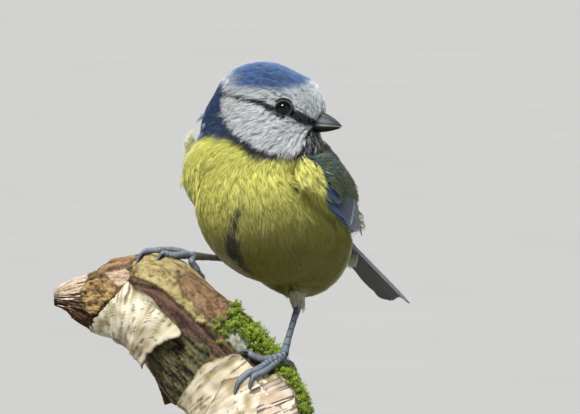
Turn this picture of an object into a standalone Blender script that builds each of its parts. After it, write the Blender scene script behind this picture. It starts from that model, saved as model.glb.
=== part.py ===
# A blue tit as a still, life-size model: the bird grips a short cut length of birch,
# and a flat base with one rod holds the birch.
# Row frame: +X to the viewer's right, +Y away from the viewer, +Z up, with the origin at
# the centre of the base's underside. Sizes below are in millimetres; MM turns them to metres.

import math
from typing import NamedTuple

import bmesh
import bpy
from mathutils import Matrix, Vector

MM = 0.001
GAP = 0.3  # kept between nodes that touch

# Where the bird's body and head stand, and which way they face. Yaw 0 faces the viewer,
# and a positive yaw turns the bird to its own right.
BODY_CENTRE = (3.05, 3.1, 75.3)
BODY_YAW, BODY_PITCH = 28.0, 26.0
HEAD_CENTRE = (1.2, -5.0, 98.6)
HEAD_YAW, HEAD_PITCH = -66.0, -6.0

# Clay of the body: centre and half sizes (forward, left, up) in the body's own frame. The
# bird leans its breast to its right.
BODY_CLAY = (
    ((6.1, -1.0, 1.9), (19.6, 13.5, 18.1)),
    ((4.2, -4.7, 1.9), (22.2, 16.0, 10.6)),
    ((1.4, -0.9, -3.3), (23.5, 15.7, 15.7)),
    ((-12.9, -0.8, -1.2), (21.3, 12.6, 15.9)),
    ((-15.0, 0.0, 4.0), (16.0, 10.0, 7.8)),
    ((-25.0, 0.0, 3.2), (11.5, 5.0, 3.4)),
)
# Clay of the head, in the head's own frame.
HEAD_CLAY = (
    ((-0.7, 0.0, 0.4), (12.6, 11.3, 10.9)),
    ((5.6, 0.0, 0.9), (9.4, 8.4, 8.7)),
    ((0.5, 4.2, -4.2), (9.5, 7.6, 7.6)),
    ((0.5, -4.2, -4.2), (9.5, 7.6, 7.6)),
    ((6.8, 0.5, -8.5), (8.3, 9.0, 7.0)),
    ((-8.6, 0.0, -6.0), (7.0, 9.5, 10.5)),
)
# Clay that fills the throat and nape between the two, as row-frame centres and radii.
NECK_CLAY = (
    ((-1.0, -3.5, 86.5), (14.0, 13.0, 9.5)),
    ((-4.5, -1.0, 91.0), (10.5, 10.5, 9.0)),
    ((1.5, 2.0, 92.0), (11.0, 8.5, 8.5)),
)
CLAY_VOXEL = 0.9
CLAY_SMOOTHING = 7
FLESH_TRIANGLES = 3300

# The thin cuts that part head, neck and torso: a point on each and the way up the neck.
COLLAR_CUT = ((0.0, -4.5, 89.0), (0.05, -0.10, 1.0))
NECK_CUT = ((0.0, -3.0, 83.5), (0.10, -0.24, 1.0))

EYE_PLACE = (7.4, 6.9, 1.5)  # on the left; the right eye mirrors it
EYE_OUTWARD = (0.42, 1.0, 0.08)
EYE_RADIUS = 2.15
LID_RADIUS, LID_THICKNESS, LID_RISE = 1.95, 0.45, 1.2

MOUTH_BASE = (10.0, 0.0, -2.5)
BILL_TIP = (20.3, 0.0, -1.8)
BILL_HALF_WIDTH = 2.1
BILL_SECTIONS, BILL_ARCH_STEPS = 8, 8
UPPER_BILL_HEIGHT, LOWER_BILL_HEIGHT = 3.4, 1.6
LOWER_BILL_REACH = 0.955  # as a share of the upper bill's length
# How a bill narrows towards its tip: the share that is gone at the tip, and how late it goes.
BILL_WIDTH_TAPER, BILL_HEIGHT_TAPER = (0.93, 1.35), (0.96, 3.0)
NOSTRIL_PLACE, NOSTRIL_SIZES = (13.4, 1.35, -0.3), (0.6, 0.4, 0.4)

# The tail: its root, its direction and its length, in the body's frame.
TAIL_ROOT = (-21.7, 0.3, 6.6)
TAIL_TURN, TAIL_DROP, TAIL_ROLL = 1.0, 1.8, 5.0
TAIL_LENGTH = 52.0
TAIL_ROOT_WIDTH, TAIL_END_WIDTH, TAIL_THICKNESS = 5.4, 6.6, 1.1
TAIL_CORE_END = 0.7
# Tail vanes on each side from the middle out: how far the tip lies off the middle, its
# place along the tail and its height. The middle vanes lie on top.
TAIL_VANES = (
    (0.75, 0.965, 0.75),
    (1.35, 0.975, 0.45),
    (1.9, 0.985, 0.15),
    (2.4, 0.995, -0.15),
    (2.8, 1.0, -0.45),
)
TAIL_VANE_HALF_WIDTH = 1.55
TAIL_GATHER = 0.72  # the roots' places off the middle, as a share of the tips'
TAIL_LEAN = 0.06  # how much higher the vanes of one side lie, so that no two faces meet

# A folded wing as a sheet over the body's side. Each row is a station from the shoulder
# back to the wing's tip, and holds the sheet's lower edge, middle and upper edge on the
# left side, in the body's frame.
WING_STATIONS = (
    ((15.0, 17.2, -1.0), (16.5, 15.2, 4.0), (15.5, 10.0, 10.4)),
    ((7.0, 19.6, -2.0), (7.0, 17.9, 5.8), (6.0, 10.6, 13.6)),
    ((-6.0, 18.2, -1.5), (-6.0, 15.6, 7.0), (-6.0, 6.8, 14.4)),
    ((-18.0, 13.8, 2.5), (-18.0, 11.2, 9.0), (-17.5, 5.0, 13.2)),
    ((-29.0, 8.4, 6.4), (-29.0, 6.8, 9.6), (-28.5, 3.4, 11.8)),
    ((-38.0, 4.4, 7.8), (-38.8, 3.5, 8.6), (-38.0, 2.4, 9.4)),
)
# The breast leans over the right wing, so that wing's stations are moved by these (out, up).
RIGHT_WING_MOVES = ((1.0, 2.8), (1.0, 2.8), (1.0, 2.4), (0.8, 1.4), (0.4, 0.4), (0.0, 0.0))
# The plain body under the vanes: its thickness, how far along the sheet it stops, and how
# far under the sheet its outer face lies, from the shoulder's edge to WING_SINK_END along.
WING_THICKNESS, WING_THINNING = 2.6, 0.7
WING_CORE_END = 0.8
WING_SINK, WING_SINK_END = (-0.4, 0.6), 0.4
WING_ROWS, WING_COLUMNS = 10, 6

# A vane's outline as (share of its length, share of its width), its thickness in the middle
# and at its edges, how far the edges hang lower, and how much of its length it rises over.
VANE_OUTLINE = ((0.0, 0.5), (0.2, 0.85), (0.5, 1.0), (0.78, 0.95), (0.94, 0.7), (1.0, 0.25))
VANE_THICKNESS, VANE_EDGE, VANE_SAG, VANE_RISE = 0.66, 0.46, 0.1, 0.5
VANE_ROOT_DEPTH = 0.7  # how far the root lies under the sheet


class Tier(NamedTuple):
    """A tier of wing vanes. Tips are places along the sheet. The rest is given for the lowest
    vane and the highest: places along and across the sheet, and millimetres."""

    tips: tuple
    root_along: tuple
    root_across: tuple
    tip_across: tuple
    half_width: tuple
    lift: tuple


WING_TIERS = {
    "primaries": Tier(
        tips=(0.92, 0.975, 1.0, 0.965, 0.92, 0.87),
        root_along=(0.28, 0.36),
        root_across=(0.10, 0.45),
        tip_across=(0.25, 0.72),
        half_width=(1.5, 1.5),
        lift=(0.0, 0.4),
    ),
    "secondaries": Tier(
        tips=(0.8, 0.77, 0.74, 0.71),
        root_along=(0.34, 0.36),
        root_across=(0.5, 0.74),
        tip_across=(0.56, 0.76),
        half_width=(1.7, 1.9),
        lift=(0.5, 0.8),
    ),
    "tertials": Tier(
        tips=(0.68, 0.6, 0.52),
        root_along=(0.36, 0.36),
        root_across=(0.8, 0.93),
        tip_across=(0.82, 0.93),
        half_width=(2.4, 2.4),
        lift=(1.0, 1.4),
    ),
    "greater coverts": Tier(
        tips=(0.4, 0.415, 0.43, 0.44, 0.44, 0.43),
        root_along=(0.16, 0.18),
        root_across=(0.12, 0.84),
        tip_across=(0.1, 0.86),
        half_width=(2.4, 2.4),
        lift=(0.75, 1.3),
    ),
    "median coverts": Tier(
        tips=(0.235, 0.245, 0.25, 0.25, 0.24),
        root_along=(0.07, 0.08),
        root_across=(0.2, 0.82),
        tip_across=(0.16, 0.84),
        half_width=(2.7, 2.7),
        lift=(0.9, 1.4),
    ),
}

# The branch's heart line, from its broken tip to below the saw cut: x, y, z and radius.
PERCH_LINE = (
    (-50.9, 9.0, 51.8, 1.1),
    (-46.8, 9.0, 51.9, 3.4),
    (-40.5, 8.5, 51.4, 7.2),
    (-34.4, 8.0, 51.5, 10.3),
    (-24.9, 6.0, 49.2, 12.2),
    (-16.0, 3.5, 40.9, 12.9),
    (-9.0, 1.5, 33.6, 13.0),
    (-4.4, 0.5, 26.4, 13.4),
    (-1.2, 0.0, 18.0, 13.8),
    (0.0, 0.0, 8.0, 14.0),
)
PERCH_STATIONS, PERCH_SIDES = 30, 24
SAW_CUT = 15.0  # height of the flat cut that rests on the rod
# Lumps of the bark as waves: height, turns round the branch, radians a millimetre and start.
BARK_WAVES = ((0.45, 2, 0.16, 0.0), (0.3, 3, -0.23, 1.0), (0.5, 0, 0.33, 0.0), (0.25, 1, 0.33, 1.6))
FULL_BARK_RADIUS = 10.0  # where the branch is thinner, the lumps are lower
# Splinters round the broken tip: degrees round the branch, and where each ends along it.
SPLINTERS = ((10, 2.5), (60, 5.0), (105, 0.5), (150, 4.0), (200, 1.5), (250, 5.5), (300, 0.0), (335, 4.5))
SPLINTER_ROOT, SPLINTER_DEPTH, SPLINTER_RADII = 13.0, 2.4, (2.0, 1.5, 0.3)

# Legs: the joint where the feathering ends, the heel of the foot, and how thick the shank is.
# A toe is a list of places on the branch as (distance along the heart line, degrees round
# it from the upper side towards the viewer, height of the toe's middle off the bark).
SHANK_RADII = (0.85, 0.75, 1.0)
TOE_RADIUS, CLAW_RADII = 0.72, (0.55, 0.42, 0.15)
LEGS = {
    "left": {
        "hip": (7.6, 8.6, 57.0),
        "ankle": (8.9, 6.4, 50.2),
        "heel": (53.2, 22, 2.8),
        "inner toe": (
            (52.5, 37, 1.3), (51.6, 46, 1.3), (50.5, 51, 1.4),
            (49.4, 52, 1.2), (48.7, 57, 1.0), (48.4, 63, 0.5),
        ),
        "middle toe": (
            (53.0, 42, 1.3), (53.1, 54, 1.1), (52.8, 66, 1.2), (53.1, 77, 1.2),
            (53.7, 84, 1.4), (54.9, 90, 1.1), (56.1, 93, 0.5),
        ),
        "outer toe": (
            (53.8, 37, 1.3), (54.1, 51, 1.1), (53.9, 62, 1.2),
            (54.4, 69, 1.5), (55.4, 74, 1.1), (56.7, 75, 0.5),
        ),
        "hind toe": ((54.3, 20, 1.3), (55.0, 8, 1.1), (55.9, -2, 1.2), (56.9, -8, 1.1), (57.9, -12, 0.5)),
    },
    "right": {
        "hip": (-1.5, 14.6, 63.5),
        "ankle": (-5.4, 18.0, 60.6),
        "heel": (26.6, -8, 3.3),
        "middle toe": (
            (25.2, -4, 2.5), (24.2, -2, 2.0), (23.2, 4, 1.5), (21.6, 9, 1.2),
            (20.9, 20, 1.4), (20.6, 30, 1.1), (20.6, 39, 0.5),
        ),
        "inner toe": (
            (25.8, 0, 2.3), (25.2, 6, 1.5), (24.0, 10, 1.2),
            (23.8, 17, 1.4), (23.7, 23, 1.1), (23.7, 28, 0.5),
        ),
        "outer toe": (
            (25.4, -14, 2.0), (24.0, -22, 1.2), (22.4, -28, 1.1),
            (21.4, -34, 1.2), (20.8, -40, 1.0), (20.6, -45, 0.5),
        ),
        "hind toe": ((26.9, -3, 1.9), (27.7, -5, 1.4), (28.7, -5, 1.1), (29.6, -2, 1.1), (30.3, 3, 0.5)),
    },
}
TOES = ("inner toe", "middle toe", "outer toe", "hind toe")
THIGH_RADII = (4.6, 3.1, 1.7)

BASE_RADIUS, BASE_HEIGHT, BASE_BEVEL = 42.0, 6.0, 1.0
ROD_RADIUS = 3.0
BASE_SIDES, ROD_SIDES = 64, 24

# Finishes by the start of a node's name: base colour, roughness and metallic value.
FINISHES = {
    "torso": ((0.62, 0.58, 0.10), 0.8, 0.0),
    "neck": ((0.02, 0.03, 0.07), 0.8, 0.0),
    "head": ((0.60, 0.65, 0.68), 0.8, 0.0),
    "thigh": ((0.55, 0.52, 0.25), 0.8, 0.0),
    "eye": ((0.01, 0.01, 0.01), 0.1, 0.0),
    "bill": ((0.05, 0.05, 0.05), 0.35, 0.0),
    "wing": ((0.04, 0.10, 0.25), 0.6, 0.0),
    "tail": ((0.05, 0.12, 0.28), 0.6, 0.0),
    "leg": ((0.12, 0.15, 0.18), 0.5, 0.0),
    "perch": ((0.55, 0.48, 0.36), 0.85, 0.0),
    "stand_base": ((0.10, 0.06, 0.035), 0.4, 0.0),
    "stand_rod": ((0.60, 0.60, 0.58), 0.3, 1.0),
}
CREASE_DEGREES = 40.0  # edges sharper than this stay crisp


def vec(values):
    """A point or size in millimetres as a vector in metres."""
    return Vector(values) * MM


def facing(centre, yaw, pitch):
    """The frame at a centre whose x looks forward, y to the bird's left and z out of its back."""
    turn, rise = math.radians(yaw), math.radians(pitch)
    forward = Vector((-math.sin(turn) * math.cos(rise), -math.cos(turn) * math.cos(rise), math.sin(rise)))
    left = Vector((math.cos(turn), -math.sin(turn), 0.0))
    frame = Matrix((forward, left, forward.cross(left))).transposed().to_4x4()
    return Matrix.Translation(vec(centre)) @ frame


BODY = facing(BODY_CENTRE, BODY_YAW, BODY_PITCH)
HEAD = facing(HEAD_CENTRE, HEAD_YAW, HEAD_PITCH)
ROW = Matrix.Identity(4)


def smooth_through(rows, share):
    """A point on the smooth curve through rows of numbers, at a share from 0 to 1 of the way."""
    place = min(max(share, 0.0), 1.0) * (len(rows) - 1)
    first = min(int(place), len(rows) - 2)
    along = place - first
    before, start, end, after = (
        Vector(rows[min(max(first + step, 0), len(rows) - 1)]) for step in (-1, 0, 1, 2)
    )
    return (
        start
        + (end - before) * (0.5 * along)
        + (before * 2 - start * 5 + end * 4 - after) * (0.5 * along**2)
        + (start * 3 - before - end * 3 + after) * (0.5 * along**3)
    )


def collection(name, hidden=False):
    """A new collection in the scene."""
    made = bpy.data.collections.new(name)
    made.hide_render = hidden
    bpy.context.scene.collection.children.link(made)
    return made


def dress(obj):
    """Gives an object its own plain Principled material, and shades its round parts smooth."""
    colour, roughness, metallic = next(FINISHES[start] for start in FINISHES if obj.name.startswith(start))
    material = bpy.data.materials.new(obj.name + "_finish")
    material.use_nodes = True
    shader = material.node_tree.nodes["Principled BSDF"]
    shader.inputs["Base Color"].default_value = (*colour, 1.0)
    shader.inputs["Roughness"].default_value = roughness
    shader.inputs["Metallic"].default_value = metallic
    obj.data.materials.clear()
    obj.data.materials.append(material)
    obj.data.shade_smooth()
    obj.data.set_sharp_from_angle(angle=math.radians(CREASE_DEGREES))


def mesh_object(name, bm, home):
    """The mesh as a new object in a collection."""
    mesh = bpy.data.meshes.new(name)
    bmesh.ops.recalc_face_normals(bm, faces=bm.faces[:])
    bm.to_mesh(mesh)
    bm.free()
    obj = bpy.data.objects.new(name, mesh)
    home.objects.link(obj)
    return obj


def evaluated_mesh(obj):
    """A copy of the object's mesh with its modifiers applied."""
    graph = bpy.context.evaluated_depsgraph_get()
    return bpy.data.meshes.new_from_object(obj.evaluated_get(graph))


def largest_surface(mesh):
    """Leaves only the mesh's largest closed surface."""
    bm = bmesh.new()
    bm.from_mesh(mesh)
    unseen, surfaces = set(bm.verts), []
    while unseen:
        found = {unseen.pop()}
        front = list(found)
        while front:
            vert = front.pop()
            fresh = {edge.other_vert(vert) for edge in vert.link_edges} - found
            found |= fresh
            front.extend(fresh)
        unseen -= found
        surfaces.append(found)

    def reach(surface):
        low = [min(vert.co[axis] for vert in surface) for axis in range(3)]
        high = [max(vert.co[axis] for vert in surface) for axis in range(3)]
        return sum((top - bottom) ** 2 for bottom, top in zip(low, high))

    keep = max(surfaces, key=reach)
    bmesh.ops.delete(bm, geom=[vert for vert in bm.verts if vert not in keep], context="VERTS")
    bm.to_mesh(mesh)
    bm.free()


def settle(obj):
    """Applies an object's modifiers and keeps its largest closed surface."""
    mesh = evaluated_mesh(obj)
    largest_surface(mesh)
    obj.modifiers.clear()
    obj.data = mesh
    return obj


def discard(obj):
    """Removes a helper object."""
    bpy.data.objects.remove(obj)


def move_to(obj, home):
    """Moves an object to a collection."""
    for owner in list(obj.users_collection):
        owner.objects.unlink(obj)
    home.objects.link(obj)


def fuse(name, pieces):
    """One closed body from overlapping closed pieces."""
    joined = collection("joined_" + name, hidden=True)
    for piece in pieces[1:]:
        move_to(piece, joined)
    body = pieces[0]
    body.name = name
    union = body.modifiers.new("union", "BOOLEAN")
    union.operation, union.operand_type, union.collection = "UNION", "COLLECTION", joined
    settle(body)
    for piece in pieces[1:]:
        discard(piece)
    bpy.data.collections.remove(joined)
    return body


def grown(obj, home, by=GAP):
    """A cutter: a copy of the object, grown outwards."""
    mesh = evaluated_mesh(obj)
    cutter = bpy.data.objects.new(obj.name + "_grown", mesh)
    cutter.matrix_world = obj.matrix_world
    cutter.hide_render = True
    cutter.display_type = "WIRE"
    home.objects.link(cutter)
    swell = cutter.modifiers.new("swell", "DISPLACE")
    swell.strength, swell.mid_level = by * MM, 0.0
    return settle(cutter)


def cut(obj, cutter):
    """Takes the cutter's space out of an object."""
    knife = obj.modifiers.new("cut", "BOOLEAN")
    knife.operation, knife.object = "DIFFERENCE", cutter
    return settle(obj)


def slice_off(mesh, point, normal):
    """Cuts away what lies beyond a plane and closes the cut with a flat face."""
    bm = bmesh.new()
    bm.from_mesh(mesh)
    geometry = bm.verts[:] + bm.edges[:] + bm.faces[:]
    made = bmesh.ops.bisect_plane(bm, geom=geometry, plane_co=point, plane_no=normal, clear_outer=True)
    rim = [item for item in made["geom_cut"] if isinstance(item, bmesh.types.BMEdge)]
    bmesh.ops.contextual_create(bm, geom=rim)
    bm.to_mesh(mesh)
    bm.free()


def loft(rings):
    """A closed bmesh through rings of points, with a flat end on the first and the last."""
    bm = bmesh.new()
    rows = [[bm.verts.new(point) for point in ring] for ring in rings]
    count = len(rows[0])
    for near, far in zip(rows, rows[1:]):
        for side in range(count):
            after = (side + 1) % count
            bm.faces.new((near[side], near[after], far[after], far[side]))
    bm.faces.new(rows[0][::-1])
    bm.faces.new(rows[-1])
    return bm


def ellipsoid(bm, frame, centre, half_sizes, segments=28):
    """Adds an ellipsoid to a bmesh."""
    matrix = frame @ Matrix.Translation(vec(centre)) @ Matrix.Diagonal((*vec(half_sizes), 1.0))
    bmesh.ops.create_uvsphere(bm, u_segments=segments, v_segments=segments // 2, radius=1.0, matrix=matrix)


def tube(name, points, radii, home, bevel_resolution=1):
    """A closed tapering tube through points in metres, from a curve with a bevel and caps."""
    curve = bpy.data.curves.new(name, "CURVE")
    curve.dimensions = "3D"
    curve.bevel_depth = radii[0] * MM
    curve.bevel_resolution = bevel_resolution
    curve.use_fill_caps = True
    spline = curve.splines.new("POLY")
    spline.points.add(len(points) - 1)
    for place, point, radius in zip(spline.points, points, radii):
        place.co = (*point, 1.0)
        place.radius = radius / radii[0]
    guide = bpy.data.objects.new(name, curve)
    home.objects.link(guide)
    mesh = evaluated_mesh(guide)
    discard(guide)
    bm = bmesh.new()
    bm.from_mesh(mesh)
    bmesh.ops.remove_doubles(bm, verts=bm.verts[:], dist=0.01 * MM)
    return mesh_object(name, bm, home)


def model_flesh(home):
    """The whole head, neck and trunk as one soft form, before it is parted."""
    bm = bmesh.new()
    for frame, clay in ((BODY, BODY_CLAY), (HEAD, HEAD_CLAY), (ROW, NECK_CLAY)):
        for centre, half_sizes in clay:
            ellipsoid(bm, frame, centre, half_sizes)
    flesh = mesh_object("flesh", bm, home)
    remesh = flesh.modifiers.new("remesh", "REMESH")
    remesh.mode, remesh.voxel_size = "VOXEL", CLAY_VOXEL * MM
    smooth = flesh.modifiers.new("smooth", "SMOOTH")
    smooth.factor, smooth.iterations = 0.5, CLAY_SMOOTHING
    settle(flesh)
    flesh.data.calc_loop_triangles()
    decimate = flesh.modifiers.new("decimate", "DECIMATE")
    decimate.ratio = FLESH_TRIANGLES / len(flesh.data.loop_triangles)
    return settle(flesh)


def part_flesh(flesh, home):
    """Parts the flesh into head, neck and torso by two thin cuts, and returns the three."""
    half_gap = 0.5 * GAP * MM
    parts = {}
    for name, below, above in (
        ("head", COLLAR_CUT, None),
        ("neck", NECK_CUT, COLLAR_CUT),
        ("torso", None, NECK_CUT),
    ):
        mesh = flesh.data.copy()
        for plane, way in ((below, -1), (above, 1)):
            if plane:
                normal = Vector(plane[1]).normalized() * way
                slice_off(mesh, vec(plane[0]) - normal * half_gap, normal)
        largest_surface(mesh)
        parts[name] = bpy.data.objects.new(name, mesh)
        home.objects.link(parts[name])
    return parts


def mirrored(place, side):
    """A place given on the left, on the side asked for."""
    return (place[0], place[1] * (1 if side == "left" else -1), place[2])


def ball(name, centre, half_sizes, segments, home):
    """An ellipsoid in the head's frame as an object."""
    bm = bmesh.new()
    ellipsoid(bm, HEAD, centre, half_sizes, segments)
    return mesh_object(name, bm, home)


def model_eyes(head, home, workshop):
    """Two eyes sunk in sockets, each inside a raised ring of lids that is one with the head."""
    lids, sockets = [], []
    for side in ("left", "right"):
        place = Vector(mirrored(EYE_PLACE, side))
        outward = Vector(mirrored(EYE_OUTWARD, side)).normalized()
        ball("eye_" + side, place, (EYE_RADIUS,) * 3, 16, home)
        sockets.append(ball("socket_" + side, place, (EYE_RADIUS + GAP,) * 3, 20, workshop))
        turn = (HEAD.to_3x3() @ outward).to_track_quat("Z", "Y")
        bpy.ops.mesh.primitive_torus_add(
            location=HEAD @ vec(place + outward * LID_RISE),
            rotation=turn.to_euler(),
            major_radius=LID_RADIUS * MM,
            minor_radius=LID_THICKNESS * MM,
            major_segments=20,
            minor_segments=6,
        )
        lids.append(bpy.context.object)
    fuse("head", [head, *lids])
    for socket in sockets:
        cut(head, socket)
        discard(socket)


def tapered(taper, share):
    """What is left of a size at a share of the way to the tip."""
    loss, power = taper
    return 1 - loss * share**power


def bill_ring(share, height, arch):
    """One section of a mandible in the head's frame: a flat cutting edge under or over an arch."""
    base, tip = Vector(MOUTH_BASE), Vector(BILL_TIP)
    middle = base.lerp(tip, share)
    width = BILL_HALF_WIDTH * tapered(BILL_WIDTH_TAPER, share)
    tall = height * tapered(BILL_HEIGHT_TAPER, share)
    sweep = [math.pi * step / BILL_ARCH_STEPS for step in range(BILL_ARCH_STEPS + 1)]
    edge = middle + Vector((0, 0, arch * 0.5 * GAP))
    ring = [edge + Vector((0, width * math.cos(a), arch * tall * math.sin(a))) for a in sweep]
    return [HEAD @ (point * MM) for point in ring]


def model_bill(head, home, workshop):
    """Upper and lower mandibles, closed on a thin mouth line, with a nostril on each side."""
    parts = []
    for name, height, arch, reach in (
        ("bill_upper", UPPER_BILL_HEIGHT, 1, 1.0),
        ("bill_lower", LOWER_BILL_HEIGHT, -1, LOWER_BILL_REACH),
    ):
        shares = [reach * step / (BILL_SECTIONS - 1) for step in range(BILL_SECTIONS)]
        parts.append(mesh_object(name, loft([bill_ring(share, height, arch) for share in shares]), home))
    for side in ("left", "right"):
        nostril = ball("nostril", mirrored(NOSTRIL_PLACE, side), NOSTRIL_SIZES, 10, workshop)
        cut(parts[0], nostril)
        discard(nostril)
    mask = grown(head, workshop)
    for part in parts:
        cut(part, mask)
    discard(mask)


def moved(stations, moves):
    """A wing's stations, each moved away from the body's middle plane and up by its own amounts."""
    return tuple(
        tuple((ahead, across + out, height + up) for ahead, across, height in station)
        for station, (out, up) in zip(stations, moves)
    )


WINGS = {"left": WING_STATIONS, "right": moved(WING_STATIONS, RIGHT_WING_MOVES)}


def wing_sheet(side, along, across, lift=0.0):
    """A point in metres on a folded wing's outer sheet: along from shoulder to tip, across
    from the lower edge to the upper one, raised off the sheet by a lift in millimetres."""

    def place(u, v):
        row = [smooth_through([station[column] for station in WINGS[side]], u) for column in range(3)]
        point = smooth_through(row, v)
        return Vector(mirrored(point, side))

    point = place(along, across)
    step = 0.02
    run = place(min(along + step, 1.0), across) - place(max(along - step, 0.0), across)
    rise = place(along, min(across + step, 1.0)) - place(along, max(across - step, 0.0))
    outward = run.cross(rise).normalized()
    if outward.y * (1 if side == "left" else -1) < 0:
        outward.negate()
    return BODY @ ((point + outward * lift) * MM)


def wing_core(side, home):
    """The wing's plain body: its sheet, thickened inwards and closed round its edges."""
    bm = bmesh.new()
    outer, inner = [], []
    for row in range(WING_ROWS):
        along = WING_CORE_END * row / (WING_ROWS - 1)
        sink = between(WING_SINK, min(along / WING_SINK_END, 1.0))
        thickness = WING_THICKNESS * (1 - WING_THINNING * along**2)
        for grid, lift in ((outer, -sink), (inner, -sink - thickness)):
            places = [column / (WING_COLUMNS - 1) for column in range(WING_COLUMNS)]
            grid.append([bm.verts.new(wing_sheet(side, along, across, lift)) for across in places])
    for grid in (outer, inner):
        for near, far in zip(grid, grid[1:]):
            for c in range(WING_COLUMNS - 1):
                bm.faces.new((near[c], near[c + 1], far[c + 1]))
                bm.faces.new((near[c], far[c + 1], far[c]))
    rims = []
    for grid in (outer, inner):
        upper_edge = [row[-1] for row in grid[1:-1]]
        lower_edge = [row[0] for row in grid[-2:0:-1]]
        rims.append(grid[0] + upper_edge + grid[-1][::-1] + lower_edge)
    for index in range(len(rims[0])):
        bm.faces.new([rims[0][index - 1], rims[0][index], rims[1][index], rims[1][index - 1]])
    return mesh_object("wing_" + side, bm, home)


def vane(spine, half_width, home):
    """A closed vane along a spine, given as (point, outward) pairs in metres at the outline's
    shares. Its upper and lower faces have the same triangles."""
    bm = bmesh.new()
    rings = []
    for index, ((point, outward), (_, wide)) in enumerate(zip(spine, VANE_OUTLINE)):
        ahead = spine[min(index + 1, len(spine) - 1)][0]
        behind = spine[max(index - 1, 0)][0]
        across = outward.cross(ahead - behind).normalized() * half_width * wide * MM
        up, edge_up = outward * 0.5 * VANE_THICKNESS * MM, outward * 0.5 * VANE_EDGE * MM
        sag = outward * VANE_SAG * MM
        left, right = point + across - sag, point - across - sag
        ring = (left + edge_up, point + up, right + edge_up, right - edge_up, point - up, left - edge_up)
        rings.append([bm.verts.new(corner) for corner in ring])
    for near, far in zip(rings, rings[1:]):
        for top, low in ((0, 5), (1, 4)):
            after, low_after = top + 1, low - 1
            bm.faces.new((near[top], near[after], far[after]))
            bm.faces.new((near[top], far[after], far[top]))
            bm.faces.new((near[low], far[low_after], near[low_after]))
            bm.faces.new((near[low], far[low], far[low_after]))
        bm.faces.new((near[2], near[3], far[3], far[2]))
        bm.faces.new((near[5], near[0], far[0], far[5]))
    bm.faces.new(rings[0][::-1])
    bm.faces.new(rings[-1])
    return mesh_object("vane", bm, home)


def between(pair, share):
    """A value between a pair's two."""
    return pair[0] + (pair[1] - pair[0]) * share


def wing_vanes(side, home):
    """Every vane of a folded wing, tier by tier."""
    vanes = []
    for tier in WING_TIERS.values():
        for index, tip in enumerate(tier.tips):
            share = index / (len(tier.tips) - 1)
            root_along, root_across = between(tier.root_along, share), between(tier.root_across, share)
            spine = []
            for length, _ in VANE_OUTLINE:
                along = between((root_along, tip), length)
                across = between((root_across, between(tier.tip_across, share)), length)
                rise = min(length / VANE_RISE, 1.0)
                height = between((-VANE_ROOT_DEPTH, between(tier.lift, share)), rise)
                point = wing_sheet(side, along, across, height)
                below = wing_sheet(side, along, across, height - 1)
                spine.append((point, (point - below).normalized()))
            vanes.append(vane(spine, between(tier.half_width, share), home))
    return vanes


def model_wing(side, home, workshop, flesh_cutter):
    """A folded wing: tiers of vanes on a plain body, cut clear of the trunk."""
    pieces = [wing_core(side, home), *wing_vanes(side, workshop)]
    return cut(fuse("wing_" + side, pieces), flesh_cutter)


def tail_frame():
    """The tail's frame: x back along it, y to the bird's right, z out of its upper side."""
    back = Matrix.Rotation(math.radians(180 + TAIL_TURN), 4, "Z")
    drop = Matrix.Rotation(math.radians(TAIL_DROP), 4, "Y")
    roll = Matrix.Rotation(math.radians(TAIL_ROLL), 4, "X")
    return BODY @ Matrix.Translation(vec(TAIL_ROOT)) @ back @ drop @ roll


def model_tail(home, workshop, flesh_cutter):
    """The closed tail: stepped vanes, the middle ones on top, on a plain body near the root."""
    frame = tail_frame()
    rings = []
    for share in (0.0, 0.5, 1.0):
        wide = 0.5 * between((TAIL_ROOT_WIDTH, TAIL_END_WIDTH), share)
        thick = 0.5 * TAIL_THICKNESS * (1 - 0.4 * share)
        x = share * TAIL_CORE_END * TAIL_LENGTH
        ring = [(x, -wide, -0.6 * thick), (x, 0, -thick), (x, wide, -0.6 * thick)]
        ring += [(x, wide, 0.6 * thick), (x, 0, thick), (x, -wide, 0.6 * thick)]
        rings.append([frame @ vec(point) for point in ring])
    pieces = [mesh_object("tail", loft(rings), home)]
    upward = frame.to_3x3() @ Vector((0, 0, 1))
    for way, lean in ((-1, 0.0), (1, TAIL_LEAN)):
        for offset, reach, height in TAIL_VANES:
            spine = []
            for length, _ in VANE_OUTLINE:
                x = length * reach * TAIL_LENGTH
                y = way * offset * between((TAIL_GATHER, 1.0), length)
                spine.append((frame @ vec((x, y, height + lean)), upward))
            pieces.append(vane(spine, TAIL_VANE_HALF_WIDTH, workshop))
    return cut(fuse("tail", pieces), flesh_cutter)


def perch_reach():
    """The heart line's length, in millimetres, at each of its points."""
    reach = [0.0]
    for near, far in zip(PERCH_LINE, PERCH_LINE[1:]):
        reach.append(reach[-1] + (Vector(far[:3]) - Vector(near[:3])).length)
    return reach


PERCH_REACH = perch_reach()


def perch_share(distance):
    """The share of the stations that lies a distance along the heart line."""
    for index, (near, far) in enumerate(zip(PERCH_REACH, PERCH_REACH[1:])):
        if distance <= far:
            return (index + (distance - near) / (far - near)) / (len(PERCH_LINE) - 1)
    return 1.0


def bark_relief(distance, degrees):
    """How far the bark's lumps stand out, in millimetres."""
    turn = math.radians(degrees)
    return sum(
        height * math.sin(turns * turn + pace * distance + start)
        for height, turns, pace, start in BARK_WAVES
    )


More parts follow.
